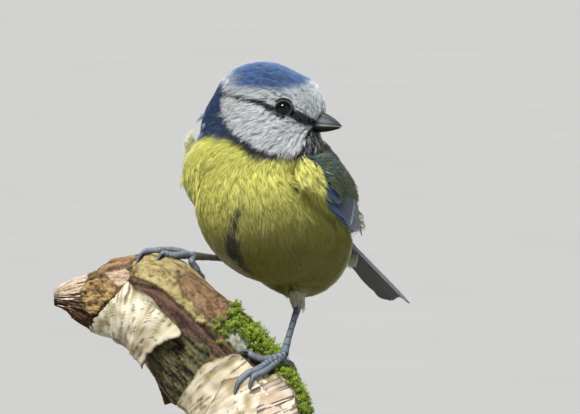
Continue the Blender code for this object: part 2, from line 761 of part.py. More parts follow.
def perch_point(distance, degrees, lift=0.0):
    """A point in metres off the bark, round the branch from its upper side to the viewer's."""
    share = perch_share(distance)
    here = smooth_through(PERCH_LINE, share)
    ahead = smooth_through(PERCH_LINE, min(share + 0.01, 1.0))
    behind = smooth_through(PERCH_LINE, max(share - 0.01, 0.0))
    along = (ahead.to_3d() - behind.to_3d()).normalized()
    front = Vector((0, -1, 0))
    front = (front - along * front.dot(along)).normalized()
    upper = front.cross(along)
    turn = math.radians(degrees)
    radius = here[3]
    relief = bark_relief(distance, degrees) * min(1.0, radius / FULL_BARK_RADIUS)
    out = upper * math.cos(turn) + front * math.sin(turn)
    return (here.to_3d() + out * (radius + relief + lift)) * MM


def model_perch(home, workshop):
    """The cut length of birch: broken and splintered at its tip, and sawn flat at its foot."""
    rings = []
    for station in range(PERCH_STATIONS):
        distance = PERCH_REACH[-1] * station / (PERCH_STATIONS - 1)
        rings.append([perch_point(distance, 360 * side / PERCH_SIDES) for side in range(PERCH_SIDES)])
    perch = mesh_object("perch", loft(rings), home)
    slice_off(perch.data, Vector((0, 0, SAW_CUT * MM)), Vector((0, 0, -1)))
    splinters = []
    for degrees, end in SPLINTERS:
        root = perch_point(SPLINTER_ROOT, degrees, -SPLINTER_DEPTH)
        middle = perch_point(between((end, SPLINTER_ROOT), 0.5), degrees, 0.0)
        points = [root, middle, perch_point(end, degrees, 0.0)]
        splinters.append(tube("splinter", points, SPLINTER_RADII, workshop))
    return fuse("perch", [perch, *splinters])


def model_leg(side, home, workshop, perch_cutter, flesh_cutter):
    """A feathered thigh, and a shank with its toes and claws as one piece that grips the bark."""
    leg = LEGS[side]
    hip, ankle, heel = vec(leg["hip"]), vec(leg["ankle"]), perch_point(*leg["heel"])
    thigh = tube("thigh_" + side, [hip, hip.lerp(ankle, 0.6), ankle], THIGH_RADII, home, 2)
    cut(thigh, flesh_cutter)
    start = ankle + (heel - ankle).normalized() * GAP * MM
    pieces = [tube("leg_" + side, [start, start.lerp(heel, 0.5), heel], SHANK_RADII, home)]
    for toe in TOES:
        points = [heel] + [perch_point(*place) for place in leg[toe]]
        radii = [TOE_RADIUS] * (len(points) - len(CLAW_RADII)) + list(CLAW_RADII)
        pieces.append(tube("toe", points, radii, workshop))
    foot = fuse("leg_" + side, pieces)
    sock = grown(thigh, workshop)
    for cutter in (perch_cutter, flesh_cutter, sock):
        cut(foot, cutter)
    discard(sock)


def turned(name, radius, bottom, top, sides, home):
    """An upright cylinder on the stand's middle line."""
    bpy.ops.mesh.primitive_cylinder_add(
        vertices=sides,
        radius=radius * MM,
        depth=(top - bottom) * MM,
        location=(0, 0, 0.5 * (top + bottom) * MM),
    )
    obj = bpy.context.object
    obj.name = name
    move_to(obj, home)
    return obj


def model_stand(home):
    """A flat round base, and the short rod under the branch's saw cut."""
    base = turned("stand_base", BASE_RADIUS, 0.0, BASE_HEIGHT, BASE_SIDES, home)
    bevel = base.modifiers.new("edge", "BEVEL")
    bevel.width, bevel.segments, bevel.limit_method = BASE_BEVEL * MM, 2, "ANGLE"
    turned("stand_rod", ROD_RADIUS, BASE_HEIGHT + GAP, SAW_CUT - GAP, ROD_SIDES, home)


def main():
    for obj in list(bpy.data.objects):
        bpy.data.objects.remove(obj)
    bird = collection("blue_tit")
    workshop = collection("workshop", hidden=True)
    flesh = model_flesh(workshop)
    head = part_flesh(flesh, bird)["head"]
    model_eyes(head, bird, workshop)
    model_bill(head, bird, workshop)
    flesh_cutter = grown(flesh, workshop)
    perch_cutter = grown(model_perch(bird, workshop), workshop)
    for side in LEGS:
        model_wing(side, bird, workshop, flesh_cutter)
        model_leg(side, bird, workshop, perch_cutter, flesh_cutter)
    model_tail(bird, workshop, flesh_cutter)
    model_stand(bird)
    for helper in (flesh, flesh_cutter, perch_cutter):
        discard(helper)
    for obj in bird.objects:
        dress(obj)


main()
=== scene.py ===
"""The looks of a still, life-size blue tit that grips a cut length of birch on a plain stand.

Lengths are in millimetres until a mesh is made, in the row frame: +X to the viewer's right,
+Y away from the viewer and +Z up.
"""

import itertools
import logging
import math
from dataclasses import dataclass
from enum import Enum
from typing import Callable, Optional, Sequence

import bmesh
import bpy
import numpy as np
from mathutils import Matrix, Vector
from mathutils.bvhtree import BVHTree


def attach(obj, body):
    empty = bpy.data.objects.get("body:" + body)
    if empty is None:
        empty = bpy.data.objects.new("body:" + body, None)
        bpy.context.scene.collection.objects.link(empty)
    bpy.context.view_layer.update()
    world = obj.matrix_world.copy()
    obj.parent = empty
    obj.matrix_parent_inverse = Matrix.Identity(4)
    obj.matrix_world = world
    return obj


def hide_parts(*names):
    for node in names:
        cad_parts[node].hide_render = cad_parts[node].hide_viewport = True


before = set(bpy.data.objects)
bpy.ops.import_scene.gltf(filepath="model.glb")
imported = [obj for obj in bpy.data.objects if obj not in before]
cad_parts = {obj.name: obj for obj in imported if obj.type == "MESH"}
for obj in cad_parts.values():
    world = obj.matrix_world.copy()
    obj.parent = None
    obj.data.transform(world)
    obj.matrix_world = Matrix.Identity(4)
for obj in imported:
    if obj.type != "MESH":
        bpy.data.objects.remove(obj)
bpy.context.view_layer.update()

LOG = logging.getLogger("blue_tit")
MM = 0.001
SEED = 20
Array = np.ndarray


def unit(vectors: Array) -> Array:
    """The same vectors with a length of one."""
    return vectors / np.maximum(np.linalg.norm(vectors, axis=-1, keepdims=True), 1e-9)


def mix(start: Array, end: Array, share: Array) -> Array:
    """A blend of two values, where the share of the second runs from 0 to 1."""
    return start + (end - start) * share


def ramp(low: float, high: float, value: Array) -> Array:
    """A smooth step from 0 at low to 1 at high."""
    share = np.clip((value - low) / (high - low), 0.0, 1.0)
    return share * share * (3.0 - 2.0 * share)


def full_turn(count: int) -> Array:
    """Angles spread evenly over one turn, in radians."""
    return np.arange(count) * 2 * math.pi / count


def to_linear(code: str) -> Array:
    """The linear red, green and blue of an sRGB hex value, such as "#55709a"."""
    values = np.array([int(code[place : place + 2], 16) / 255.0 for place in (1, 3, 5)])
    return np.where(values <= 0.04045, values / 12.92, ((values + 0.055) / 1.055) ** 2.4)


def noise(points: Array, cell: float, seed: int = 0) -> Array:
    """Smooth noise over space.

    Args:
        points: Places in millimetres, one in each row.
        cell: The size of a lump, in millimetres.
        seed: Which noise is drawn.

    Returns:
        A value from 0 to 1 for each place.
    """
    place = points / cell
    low = np.floor(place).astype(np.int64)
    share = place - low
    share = share * share * (3.0 - 2.0 * share)
    total = np.zeros(len(points))
    for corner in range(8):
        step = np.array([(corner >> axis) & 1 for axis in range(3)])
        spot = low + step
        mixed = spot[:, 0] * 374761393 + spot[:, 1] * 668265263 + spot[:, 2] * 1274126177 + seed * 974634777
        mixed = ((mixed ^ (mixed >> 13)) * 1103515245) & 0x7FFFFFFF
        mixed = ((mixed ^ (mixed >> 15)) * 12345701) & 0x7FFFFFFF
        weight = np.prod(np.where(step == 1, share, 1.0 - share), axis=1)
        total += weight * (mixed / 0x7FFFFFFF)
    return total


def through(rows: Array, place: Array) -> Array:
    """Points on the smooth curve through rows of numbers.

    Args:
        rows: The curve's points, or a list of them for each wanted point.
        place: Where each wanted point lies, counted in rows from 0.

    Returns:
        One row of numbers for each place.
    """
    rows = np.asarray(rows, float)
    last = len(rows) - 1
    place = np.clip(place, 0.0, last)
    first = np.minimum(place.astype(int), last - 1)
    along = (place - first)[:, None]
    own = (np.arange(len(place)),) if rows.ndim == 3 else ()
    before, start, end, after = (rows[(np.clip(first + step, 0, last), *own)] for step in (-1, 0, 1, 2))
    return (
        start
        + (end - before) * 0.5 * along
        + (before * 2 - start * 5 + end * 4 - after) * 0.5 * along**2
        + (start * 3 - before - end * 3 + after) * 0.5 * along**3
    )


@dataclass(frozen=True)
class Frame:
    """A frame of the bird: x forward, y to its left and z out of its back or crown."""

    centre: tuple[float, float, float]
    yaw: float
    pitch: float

    @property
    def axes(self) -> Array:
        """The frame's three axes as rows.

        Returns:
            Three unit vectors.
        """
        turn, rise = math.radians(self.yaw), math.radians(self.pitch)
        flat = math.cos(rise)
        forward = np.array((-math.sin(turn) * flat, -math.cos(turn) * flat, math.sin(rise)))
        left = np.array((math.cos(turn), -math.sin(turn), 0.0))
        return np.array((forward, left, np.cross(forward, left)))

    def out(self, local: Array) -> Array:
        """Places of this frame in the row frame."""
        return np.asarray(local, float) @ self.axes + np.array(self.centre)

    def turn_out(self, local: Array) -> Array:
        """Directions of this frame in the row frame."""
        return np.asarray(local, float) @ self.axes

    def into(self, points: Array) -> Array:
        """Places of the row frame in this frame."""
        return (points - np.array(self.centre)) @ self.axes.T


BODY = Frame((3.05, 3.1, 75.3), 28.0, 26.0)
HEAD = Frame((1.2, -5.0, 98.6), -66.0, -6.0)
EYE_PLACE = np.array((7.4, 6.9, 1.5))
EYE_OUTWARD = np.array((0.42, 1.0, 0.08))
EYE_RADIUS = 2.15
BILL_BASE = np.array((10.6, 0.0, -2.0))
MIRROR = np.array((1.0, -1.0, 1.0))


class Side(Enum):
    """The bird's left and right, with the sign of its frame's y."""

    LEFT = 1
    RIGHT = -1

    @property
    def label(self) -> str:
        """The side's name in a piece's name."""
        return self.name.lower()

    def of(self, local: Array) -> Array:
        """Places given for the left, on this side."""
        return np.asarray(local, float) * np.array((1.0, self.value, 1.0))


# Shading.


def add_node(
    tree: bpy.types.NodeTree,
    kind: str,
    settings: Optional[dict] = None,
    links: Optional[dict] = None,
    into: Optional[dict] = None,
) -> bpy.types.Node:
    """Adds a node to a material.

    Args:
        tree: The material's node tree.
        kind: The node's type, such as "ShaderNodeMix".
        settings: Values by the name of a socket or a property, or by a socket's number.
        links: The socket that feeds each input, by the input's name or number.
        into: The input that each output feeds, by the output's name.

    Returns:
        The new node.
    """
    node = tree.nodes.new(kind)
    for name, value in (settings or {}).items():
        if isinstance(name, int) or name in node.inputs:
            node.inputs[name].default_value = value
        else:
            setattr(node, name, value)
    for name, source in (links or {}).items():
        tree.links.new(source, node.inputs[name])
    for name, target in (into or {}).items():
        tree.links.new(node.outputs[name], target)
    return node


def colour_ramp(node: bpy.types.Node, stops: Sequence[tuple[float, str]]) -> None:
    """Sets a colour ramp's stops.

    Args:
        node: The colour ramp node.
        stops: Each stop's place from 0 to 1 and its sRGB hex colour.
    """
    elements = node.color_ramp.elements
    while len(elements) < len(stops):
        elements.new(0.5)
    for element, (place, code) in zip(elements, stops):
        element.position = place
        element.color = (*to_linear(code), 1.0)


class Finish:
    """A finish: a Principled material whose own method adds what is special to it."""

    def material(self) -> bpy.types.Material:
        """Makes the material, or finds it where another piece has it already.

        Returns:
            The material, named for its class.
        """
        name = type(self).__name__
        made = bpy.data.materials.get(name)
        if made:
            return made
        made = bpy.data.materials.new(name)
        made.use_nodes = True
        tree = made.node_tree
        self.surface(tree, tree.nodes["Principled BSDF"])
        return made

    def surface(self, tree: bpy.types.NodeTree, shader: bpy.types.Node) -> None:
        """Sets the shader's values and adds its patterns."""
        raise NotImplementedError

    @staticmethod
    def set(shader: bpy.types.Node, **values: object) -> None:
        """Sets constants on the shader's own sockets, with underscores for spaces."""
        for name, value in values.items():
            shader.inputs[name.replace("_", " ")].default_value = value

    @staticmethod
    def own_colours(
        tree: bpy.types.NodeTree,
        shader: bpy.types.Node,
        pattern: Optional[bpy.types.NodeSocket] = None,
        shades: tuple[float, float] = (1.0, 1.0),
        between: tuple[float, float] = (0.0, 1.0),
    ) -> None:
        """Feeds the mesh's own colours into the shader, shaded by a pattern if there is one.

        Args:
            tree: The material's node tree.
            shader: The Principled shader.
            pattern: The pattern's value.
            shades: What the colours are multiplied by at the pattern's low and high values.
            between: Those low and high values.
        """
        tint = add_node(tree, "ShaderNodeVertexColor", {"layer_name": "Tint"})
        colour = tint.outputs["Color"]
        if pattern is not None:
            spans = dict(zip(("From Min", "From Max", "To Min", "To Max"), (*between, *shades)))
            shade = add_node(tree, "ShaderNodeMapRange", spans, {"Value": pattern})
            shaded = add_node(tree, "ShaderNodeVectorMath", {"operation": "SCALE"},
                              {0: colour, "Scale": shade.outputs["Result"]})
            colour = shaded.outputs["Vector"]
        tree.links.new(colour, shader.inputs["Base Color"])

    @staticmethod
    def per_metre(size_mm: float) -> float:
        """A texture's scale for a pattern of a size in millimetres."""
        return 1.0 / (size_mm * MM)


@dataclass(frozen=True)
class DownyKeratin(Finish):
    """Loose barbs of grown keratin. Fine matt threads that catch a soft sheen at their edges."""

    roughness: float = 0.72
    sheen: float = 0.08
    sheen_roughness: float = 0.5
    glow: float = 0.45  # how much light passes through a barb
    glow_depth_mm: float = 0.4

    def surface(self, tree: bpy.types.NodeTree, shader: bpy.types.Node) -> None:
        """The barbs' own colours, with no pattern: the mesh carries the threads.

        Args:
            tree: The material's nodes.
            shader: Its shader.
        """
        self.own_colours(tree, shader)
        self.set(shader, Roughness=self.roughness, Specular_IOR_Level=0.25)
        self.set(shader, Sheen_Weight=self.sheen, Sheen_Roughness=self.sheen_roughness)
        self.set(shader, Subsurface_Weight=self.glow, Subsurface_Radius=(1.0, 1.0, 1.0),
                 Subsurface_Scale=self.glow_depth_mm * MM)


@dataclass(frozen=True)
class SkinUnderDown(Finish):
    """Skin beneath the feathers, in the coat's markings with painted shade. Seen only as a dark, matt depth
    between barbs.
    """

    down_mm: float = 0.5
    roughness: float = 0.9

    def surface(self, tree: bpy.types.NodeTree, shader: bpy.types.Node) -> None:
        """The coat's markings, darkened by painted shade, with a downy unevenness.

        Args:
            tree: The material's nodes.
            shader: Its shader.
        """
        self.own_colours(tree, shader)
        down = add_node(tree, "ShaderNodeTexNoise", {"Scale": self.per_metre(self.down_mm), "Detail": 3.0})
        add_node(tree, "ShaderNodeBump", {"Distance": 0.3 * MM}, {"Height": down.outputs["Fac"]},
                 {"Normal": shader.inputs["Normal"]})
        self.set(shader, Roughness=self.roughness, Specular_IOR_Level=0.2)


@dataclass(frozen=True)
class VaneKeratin(Finish):
    """Flight feather vanes: barbs zipped into a smooth blade, which gives a silky, striped gloss."""

    barb_spacing_mm: float = 0.34  # drawn three times as coarse as life, so that it shows
    wave_period: float = 2 * math.pi / 20  # the wave texture's own period at a scale of 1
    roughness: float = 0.48

    def surface(self, tree: bpy.types.NodeTree, shader: bpy.types.Node) -> None:
        """Slanting barb lines on the vane's own colours, all of it darkened as painted shade.

        Args:
            tree: The material's nodes.
            shader: Its shader.
        """
        place = add_node(tree, "ShaderNodeUVMap", {"uv_map": "Barbs"})
        lines = add_node(
            tree,
            "ShaderNodeTexWave",
            {"Scale": self.wave_period / self.barb_spacing_mm, "Distortion": 1.0, "Detail": 1.0,
             "bands_direction": "Y"},
            {"Vector": place.outputs["UV"]},
        )
        # The barbs' stripes, and below 1 throughout: painted shade that darkens every vane.
        self.own_colours(tree, shader, lines.outputs["Fac"], (0.62, 0.92))
        add_node(tree, "ShaderNodeBump", {"Distance": 0.05 * MM, "Strength": 0.6},
                 {"Height": lines.outputs["Fac"]}, {"Normal": shader.inputs["Normal"]})
        self.set(shader, Roughness=self.roughness, Sheen_Weight=0.15, Specular_IOR_Level=0.45)


@dataclass(frozen=True)
class WetEye(Finish):
    """A living eye's wet cornea over a near black iris. Mirror bright, with a deep brown ring."""

    roughness: float = 0.04
    tear_ior: float = 1.376

    def surface(self, tree: bpy.types.NodeTree, shader: bpy.types.Node) -> None:
        """The iris and pupil as colours of the mesh, under a clear wet coat."""
        self.own_colours(tree, shader)
        self.set(shader, Roughness=self.roughness, IOR=self.tear_ior)


@dataclass(frozen=True)
class BareLid(Finish):
    """The bare skin of the lids: grey, finely creased and slightly moist at the rim."""

    crease_mm: float = 0.2
    roughness: float = 0.42

    def surface(self, tree: bpy.types.NodeTree, shader: bpy.types.Node) -> None:
        """The lid's own colours with fine creases.

        Args:
            tree: The material's nodes.
            shader: Its shader.
        """
        self.own_colours(tree, shader)
        scale = self.per_metre(self.crease_mm)
        crease = add_node(tree, "ShaderNodeTexNoise", {"Scale": scale, "Detail": 2.0})
        add_node(tree, "ShaderNodeBump", {"Distance": 0.04 * MM}, {"Height": crease.outputs["Fac"]},
                 {"Normal": shader.inputs["Normal"]})
        self.set(shader, Roughness=self.roughness)


@dataclass(frozen=True)
class BillHorn(Finish):
    """The bill's grown horn: worn smooth and a little glossy, with fine growth lines."""

    scuff_mm: float = 0.4
    horn_ior: float = 1.5

    def surface(self, tree: bpy.types.NodeTree, shader: bpy.types.Node) -> None:
        """The horn's own colours, scuffed in patches.

        Args:
            tree: The material's nodes.
            shader: Its shader.
        """
        scuff = add_node(tree, "ShaderNodeTexNoise", {"Scale": self.per_metre(self.scuff_mm), "Detail": 4.0})
        worn = scuff.outputs["Fac"]
        self.own_colours(tree, shader, worn, (0.82, 1.15))
        add_node(tree, "ShaderNodeMapRange", {"To Min": 0.24, "To Max": 0.4}, {"Value": worn},
                 {"Result": shader.inputs["Roughness"]})
        add_node(tree, "ShaderNodeBump", {"Distance": 0.03 * MM}, {"Height": worn},
                 {"Normal": shader.inputs["Normal"]})
        self.set(shader, IOR=self.horn_ior, Specular_IOR_Level=0.25)


@dataclass(frozen=True)
class ScaledSkin(Finish):
    """Horny scales over thin skin on shank and toes. Dull sheen on the scales, dark seams between."""

    mottle_mm: float = 0.6
    grit_mm: float = 0.15
    roughness: float = 0.5

    def surface(self, tree: bpy.types.NodeTree, shader: bpy.types.Node) -> None:
        """The scales' own colours, mottled, with grit.

        Args:
            tree: The material's nodes.
            shader: Its shader.
        """
        scale = self.per_metre(self.mottle_mm)
        mottle = add_node(tree, "ShaderNodeTexNoise", {"Scale": scale, "Detail": 3.0})
        self.own_colours(tree, shader, mottle.outputs["Fac"], (0.75, 1.25))
        grit = add_node(tree, "ShaderNodeTexNoise", {"Scale": self.per_metre(self.grit_mm), "Detail": 2.0})
        add_node(tree, "ShaderNodeBump", {"Distance": 0.03 * MM}, {"Height": grit.outputs["Fac"]},
                 {"Normal": shader.inputs["Normal"]})
        self.set(shader, Roughness=self.roughness, Specular_IOR_Level=0.5)


@dataclass(frozen=True)
class BirchBark(Finish):
    """Weathered birch: chalky paper bark, corky rough bark and bare fibre, all dry and matt."""

    grime_mm: float = 1.5
    grain_mm: float = 0.25
    roughness: float = 0.85

    def surface(self, tree: bpy.types.NodeTree, shader: bpy.types.Node) -> None:
        """The bark's own colours, with grime and grain.

        Args:
            tree: The material's nodes.
            shader: Its shader.
        """
        grime = add_node(tree, "ShaderNodeTexNoise", {"Scale": self.per_metre(self.grime_mm), "Detail": 6.0})
        self.own_colours(tree, shader, grime.outputs["Fac"], (0.72, 1.2), (0.3, 0.7))
        grain = add_node(tree, "ShaderNodeTexNoise", {"Scale": self.per_metre(self.grain_mm), "Detail": 3.0})
        add_node(tree, "ShaderNodeBump", {"Distance": 0.12 * MM}, {"Height": grain.outputs["Fac"]},
                 {"Normal": shader.inputs["Normal"]})
        self.set(shader, Roughness=self.roughness, Specular_IOR_Level=0.25)


@dataclass(frozen=True)
class MossLeaf(Finish):
    """Living moss: thin wet leaves, so bright that light seems to pass through their tips."""

    roughness: float = 0.5

    def surface(self, tree: bpy.types.NodeTree, shader: bpy.types.Node) -> None:
        """The leaves' own colours with a soft, moist surface."""
        self.own_colours(tree, shader)
        self.set(shader, Roughness=self.roughness, Specular_IOR_Level=0.4)


@dataclass(frozen=True)
class OiledWalnut(Finish):
    """Walnut, turned on a lathe and oiled: dark, satin, with open grain along the board."""

    grain_mm: float = 2.2
    pore_mm: float = 0.35
    stretch: tuple = (0.12, 1.0, 1.0)  # grain and pores run along the board's x
    tones: tuple = ((0.3, "#2c1c13"), (0.5, "#4a3122"), (0.62, "#5e4230"), (0.75, "#3a261a"))

    def surface(self, tree: bpy.types.NodeTree, shader: bpy.types.Node) -> None:
        """Grain bands along one direction, with short pores.

        Args:
            tree: The material's nodes.
            shader: Its shader.
        """
        place = add_node(tree, "ShaderNodeTexCoord")
        board = add_node(tree, "ShaderNodeMapping", {"Scale": self.stretch},
                         {"Vector": place.outputs["Object"]})
        grain = add_node(tree, "ShaderNodeTexNoise",
                         {"Scale": self.per_metre(self.grain_mm), "Detail": 6.0, "Distortion": 0.6},
                         {"Vector": board.outputs["Vector"]})
        bands = add_node(tree, "ShaderNodeValToRGB", links={"Fac": grain.outputs["Fac"]},
                         into={"Color": shader.inputs["Base Color"]})
        colour_ramp(bands, self.tones)
        pores = add_node(tree, "ShaderNodeTexNoise", {"Scale": self.per_metre(self.pore_mm), "Detail": 2.0},
                         {"Vector": board.outputs["Vector"]})
        add_node(tree, "ShaderNodeBump", {"Distance": 0.05 * MM}, {"Height": pores.outputs["Fac"]},
                 {"Normal": shader.inputs["Normal"]})
        self.set(shader, Roughness=0.36, Coat_Weight=0.15, Coat_Roughness=0.3)


@dataclass(frozen=True)
class BrushedSteel(Finish):
    """Stainless steel rod, brushed round its axis: soft streaks of light across it."""

    brush_mm: float = 0.15
    stretch: tuple = (0.05, 0.05, 1.0)  # the brush's lines run round the rod

    def surface(self, tree: bpy.types.NodeTree, shader: bpy.types.Node) -> None:
        """Fine brush lines that run round the rod.

        Args:
            tree: The material's nodes.
            shader: Its shader.
        """
        place = add_node(tree, "ShaderNodeTexCoord")
        round_rod = add_node(tree, "ShaderNodeMapping", {"Scale": self.stretch},
                             {"Vector": place.outputs["Object"]})
        lines = add_node(tree, "ShaderNodeTexNoise", {"Scale": self.per_metre(self.brush_mm), "Detail": 2.0},
                         {"Vector": round_rod.outputs["Vector"]})
        add_node(tree, "ShaderNodeMapRange", {"To Min": 0.2, "To Max": 0.45}, {"Value": lines.outputs["Fac"]},
                 {"Result": shader.inputs["Roughness"]})
        self.set(shader, Base_Color=(*to_linear("#b9b8b3"), 1.0), Metallic=1.0)


@dataclass(frozen=True)
class StudioPaper(Finish):
    """Matt background paper on a roll: an even pale grey with no grain that shows."""

    fibre_mm: float = 4.0  # drawn far coarser than life, as the floor is large
    tones: tuple = ((0.0, "#949594"), (1.0, "#999a99"))

    def surface(self, tree: bpy.types.NodeTree, shader: bpy.types.Node) -> None:
        """A plain colour, very faintly uneven.

        Args:
            tree: The material's nodes.
            shader: Its shader.
        """
        fibre = add_node(tree, "ShaderNodeTexNoise", {"Scale": self.per_metre(self.fibre_mm), "Detail": 2.0})
        tone = add_node(tree, "ShaderNodeValToRGB", links={"Fac": fibre.outputs["Fac"]},
                        into={"Color": shader.inputs["Base Color"]})
        colour_ramp(tone, self.tones)
        self.set(shader, Roughness=0.95, Specular_IOR_Level=0.1)


# Meshes.


@dataclass
class Build:
    """A mesh in the making: points in millimetres, faces with one count of corners, tints and maps."""

    points: Array
    faces: Array
    tint: Optional[Array] = None
    bake_map: Optional[Array] = None
    barb_map: Optional[Array] = None

    @staticmethod
    def joined(parts: Sequence["Build"]) -> "Build":
        """Several builds as one.

        Args:
            parts: The builds.

        Returns:
            One build with all their points and faces.
        """
        starts = np.cumsum([0] + [len(part.points) for part in parts[:-1]])
        merged = {}
        for name in ("tint", "bake_map", "barb_map"):
            values = [getattr(part, name) for part in parts]
            merged[name] = None if any(value is None for value in values) else np.concatenate(values)
        faces = np.concatenate([part.faces + start for part, start in zip(parts, starts)])
        return Build(np.concatenate([part.points for part in parts]), faces, **merged)

    def piece(self, name: str, finish: Finish, slot: str, replaces: Sequence[str] = ()) -> None:
        """Makes the mesh a piece of the model.

        Args:
            name: The piece's name.
            finish: The material of the whole piece.
            slot: The record's material slot; not used.
            replaces: The solids' nodes that the piece stands for.
        """
        mesh = bpy.data.meshes.new(name)
        corners = self.faces.shape[1]
        mesh.vertices.add(len(self.points))
        mesh.vertices.foreach_set("co", (self.points * MM).astype(np.float32).ravel())
        mesh.loops.add(self.faces.size)
        mesh.loops.foreach_set("vertex_index", self.faces.astype(np.int32).ravel())
        mesh.polygons.add(len(self.faces))
        mesh.polygons.foreach_set("loop_start", np.arange(0, self.faces.size, corners, dtype=np.int32))
        mesh.polygons.foreach_set("use_smooth", np.ones(len(self.faces), bool))
        mesh.update(calc_edges=True)
        if self.tint is not None:
            layer = mesh.color_attributes.new("Tint", "FLOAT_COLOR", "POINT")
            colours = np.concatenate((np.clip(self.tint, 0.0, 1.0), np.ones((len(self.tint), 1))), axis=1)
            layer.data.foreach_set("color", colours.astype(np.float32).ravel())
        for label, places in (("Barbs", self.barb_map), ("OFBake", self.bake_map)):
            if places is not None:
                uv = mesh.uv_layers.new(name=label)
                uv.data.foreach_set("uv", places[self.faces.ravel()].astype(np.float32).ravel())
        mesh.materials.append(finish.material())
        obj = bpy.data.objects.new(name, mesh)
        bpy.context.scene.collection.objects.link(obj)
        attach(obj, "root")
        if replaces:
            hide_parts(*replaces)
        LOG.info("%s: %d triangles", name, len(self.faces) * (corners - 2))


def grid_faces(rows: int, columns: int, closed: bool = False) -> Array:
    """Triangles over a grid of points.

    Args:
        rows: How many rows of points there are.
        columns: How many points a row has.
        closed: Whether the last column joins the first.

    Returns:
        The corners of each triangle.
    """
    across = np.arange(columns if closed else columns - 1)
    row, column = np.meshgrid(np.arange(rows - 1), across, indexing="ij")
    after = (column + 1) % columns
    a, b = row * columns + column, row * columns + after
    c, d = a + columns, b + columns
    halves = np.stack((np.stack((a, b, d), -1), np.stack((a, d, c), -1)), axis=2)
    return halves.reshape(-1, 3)


def sweep(path: Array, radius: Array, sides: int, up: Array) -> Build:
    """A closed tube along a path.

    Args:
        path: The middle line's points.
        radius: The radius at each point, or one for each point and side.
        sides: How many sides the tube has.
        up: The direction of the tube's first side, as near as the path allows.

    Returns:
        The tube, with a cap on each end. Its tint is left empty.
    """
    ahead = unit(np.gradient(path, axis=0))
    upward = np.broadcast_to(up, path.shape)
    first = unit(upward - ahead * np.sum(ahead * upward, axis=1, keepdims=True))
    second = np.cross(ahead, first)
    angle = full_turn(sides)
    reach = np.broadcast_to(np.asarray(radius).reshape(len(path), -1), (len(path), sides))
    rings = (
        path[:, None]
        + first[:, None] * (np.cos(angle)[None, :, None] * reach[:, :, None])
        + second[:, None] * (np.sin(angle)[None, :, None] * reach[:, :, None])
    )
    points = np.concatenate((rings.reshape(-1, 3), path[:1], path[-1:]))
    faces = grid_faces(len(path), sides, closed=True)
    return Build(points, np.concatenate((faces, end_caps(len(path), sides))))


def end_caps(rows: int, sides: int) -> Array:
    """Triangles that close a tube's two ends.

    Args:
        rows: How many rings the tube has.
        sides: How many points a ring has.

    Returns:
        The corners of each, where the middles of the first and the last ring follow the rings' points.
    """
    side = np.arange(sides)
    after = (side + 1) % sides
    count, last = rows * sides, (rows - 1) * sides
    start_cap = np.stack((after, side, np.full(sides, count)), -1)
    end_cap = np.stack((last + side, last + after, np.full(sides, count + 1)), -1)
    return np.concatenate((start_cap, end_cap))


class Surface:
    """A closed surface that feathers grow on, with quick answers about where it lies."""

    tries = 3.0  # how many places are tried for each that the finest spacing has room for

    def __init__(self, points: Array, faces: Array) -> None:
        """Keeps the surface's points, in millimetres, and its triangles.

        Args:
            points: Its points, in millimetres.
            faces: Its triangles.
        """
        self.points = points
        self.faces = faces
        self.tree = BVHTree.FromPolygons(points.tolist(), faces.tolist())

    def seen_from(self, points: Array, outward: Array, height: float = 5.0) -> tuple[Array, Array]:
        """Drops each point onto the outermost surface beneath it.

        Args:
            points: Places near the surface.
            outward: The way out of the surface at each place.
            height: How far out each drop starts.

        Returns:
            The places on the surface, and its outward normals there.
        """
        places, normals = points.copy(), outward.copy()
        for index, (point, way) in enumerate(zip(points, outward)):
            hit = self.tree.ray_cast(Vector(point + way * height), Vector(-way), 3.0 * height)
            if hit[0] is None:
                hit = self.tree.find_nearest(Vector(point))
            normal = np.array(hit[1])
            places[index] = hit[0]
            normals[index] = normal if normal @ way > 0 else -normal
        return places, normals

    def scatter(
        self, spacing: Callable[[Array], Array], finest: float, draw: np.random.Generator
    ) -> tuple[Array, Array]:
        """Spreads places evenly over the surface.

        Args:
            spacing: The distance that places keep, in millimetres, and 0 where none belongs.
            finest: The least spacing there is.
            draw: The random numbers.

        Returns:
            The places and the surface's normals there.
        """
        corners = self.points[self.faces]
        cross = np.cross(corners[:, 1] - corners[:, 0], corners[:, 2] - corners[:, 0])
        area = 0.5 * np.linalg.norm(cross, axis=1)
        count = int(area.sum() / (finest**2) * self.tries)
        chosen = draw.choice(len(area), count, p=area / area.sum())
        a, b = draw.random((2, count, 1))
        flip = a + b > 1
        a, b = np.where(flip, 1 - a, a), np.where(flip, 1 - b, b)
        corner = corners[chosen]
        places = corner[:, 0] + (corner[:, 1] - corner[:, 0]) * a + (corner[:, 2] - corner[:, 0]) * b
        keep_off = spacing(places)
        cell = float(keep_off.max())
        cells: dict[tuple[int, int, int], list[int]] = {}
        kept = []
        for index in np.flatnonzero(keep_off > 0):
            point = places[index]
            x, y, z = np.floor(point / cell).astype(int)
            cells_near = itertools.product((x - 1, x, x + 1), (y - 1, y, y + 1), (z - 1, z, z + 1))
            gaps = (point - places[other] for near in cells_near for other in cells.get(near, ()))
            if all(gap @ gap >= keep_off[index] ** 2 for gap in gaps):
                cells.setdefault((x, y, z), []).append(index)
                kept.append(index)
        return places[kept], unit(cross[chosen[kept]])


# Plumage.


def head_angles(points: Array) -> tuple[Array, Array, Array]:
    """Where places lie as seen from the head's centre.

    Args:
        points: Places in the row frame.

    Returns:
        Degrees round from the bill to either side, degrees up, and places in the head's frame.
    """
    local = HEAD.into(points)
    around = np.degrees(np.arctan2(np.abs(local[:, 1]), local[:, 0]))
    up = np.degrees(np.arctan2(local[:, 2], np.hypot(local[:, 0], local[:, 1])))
    return around, up, local


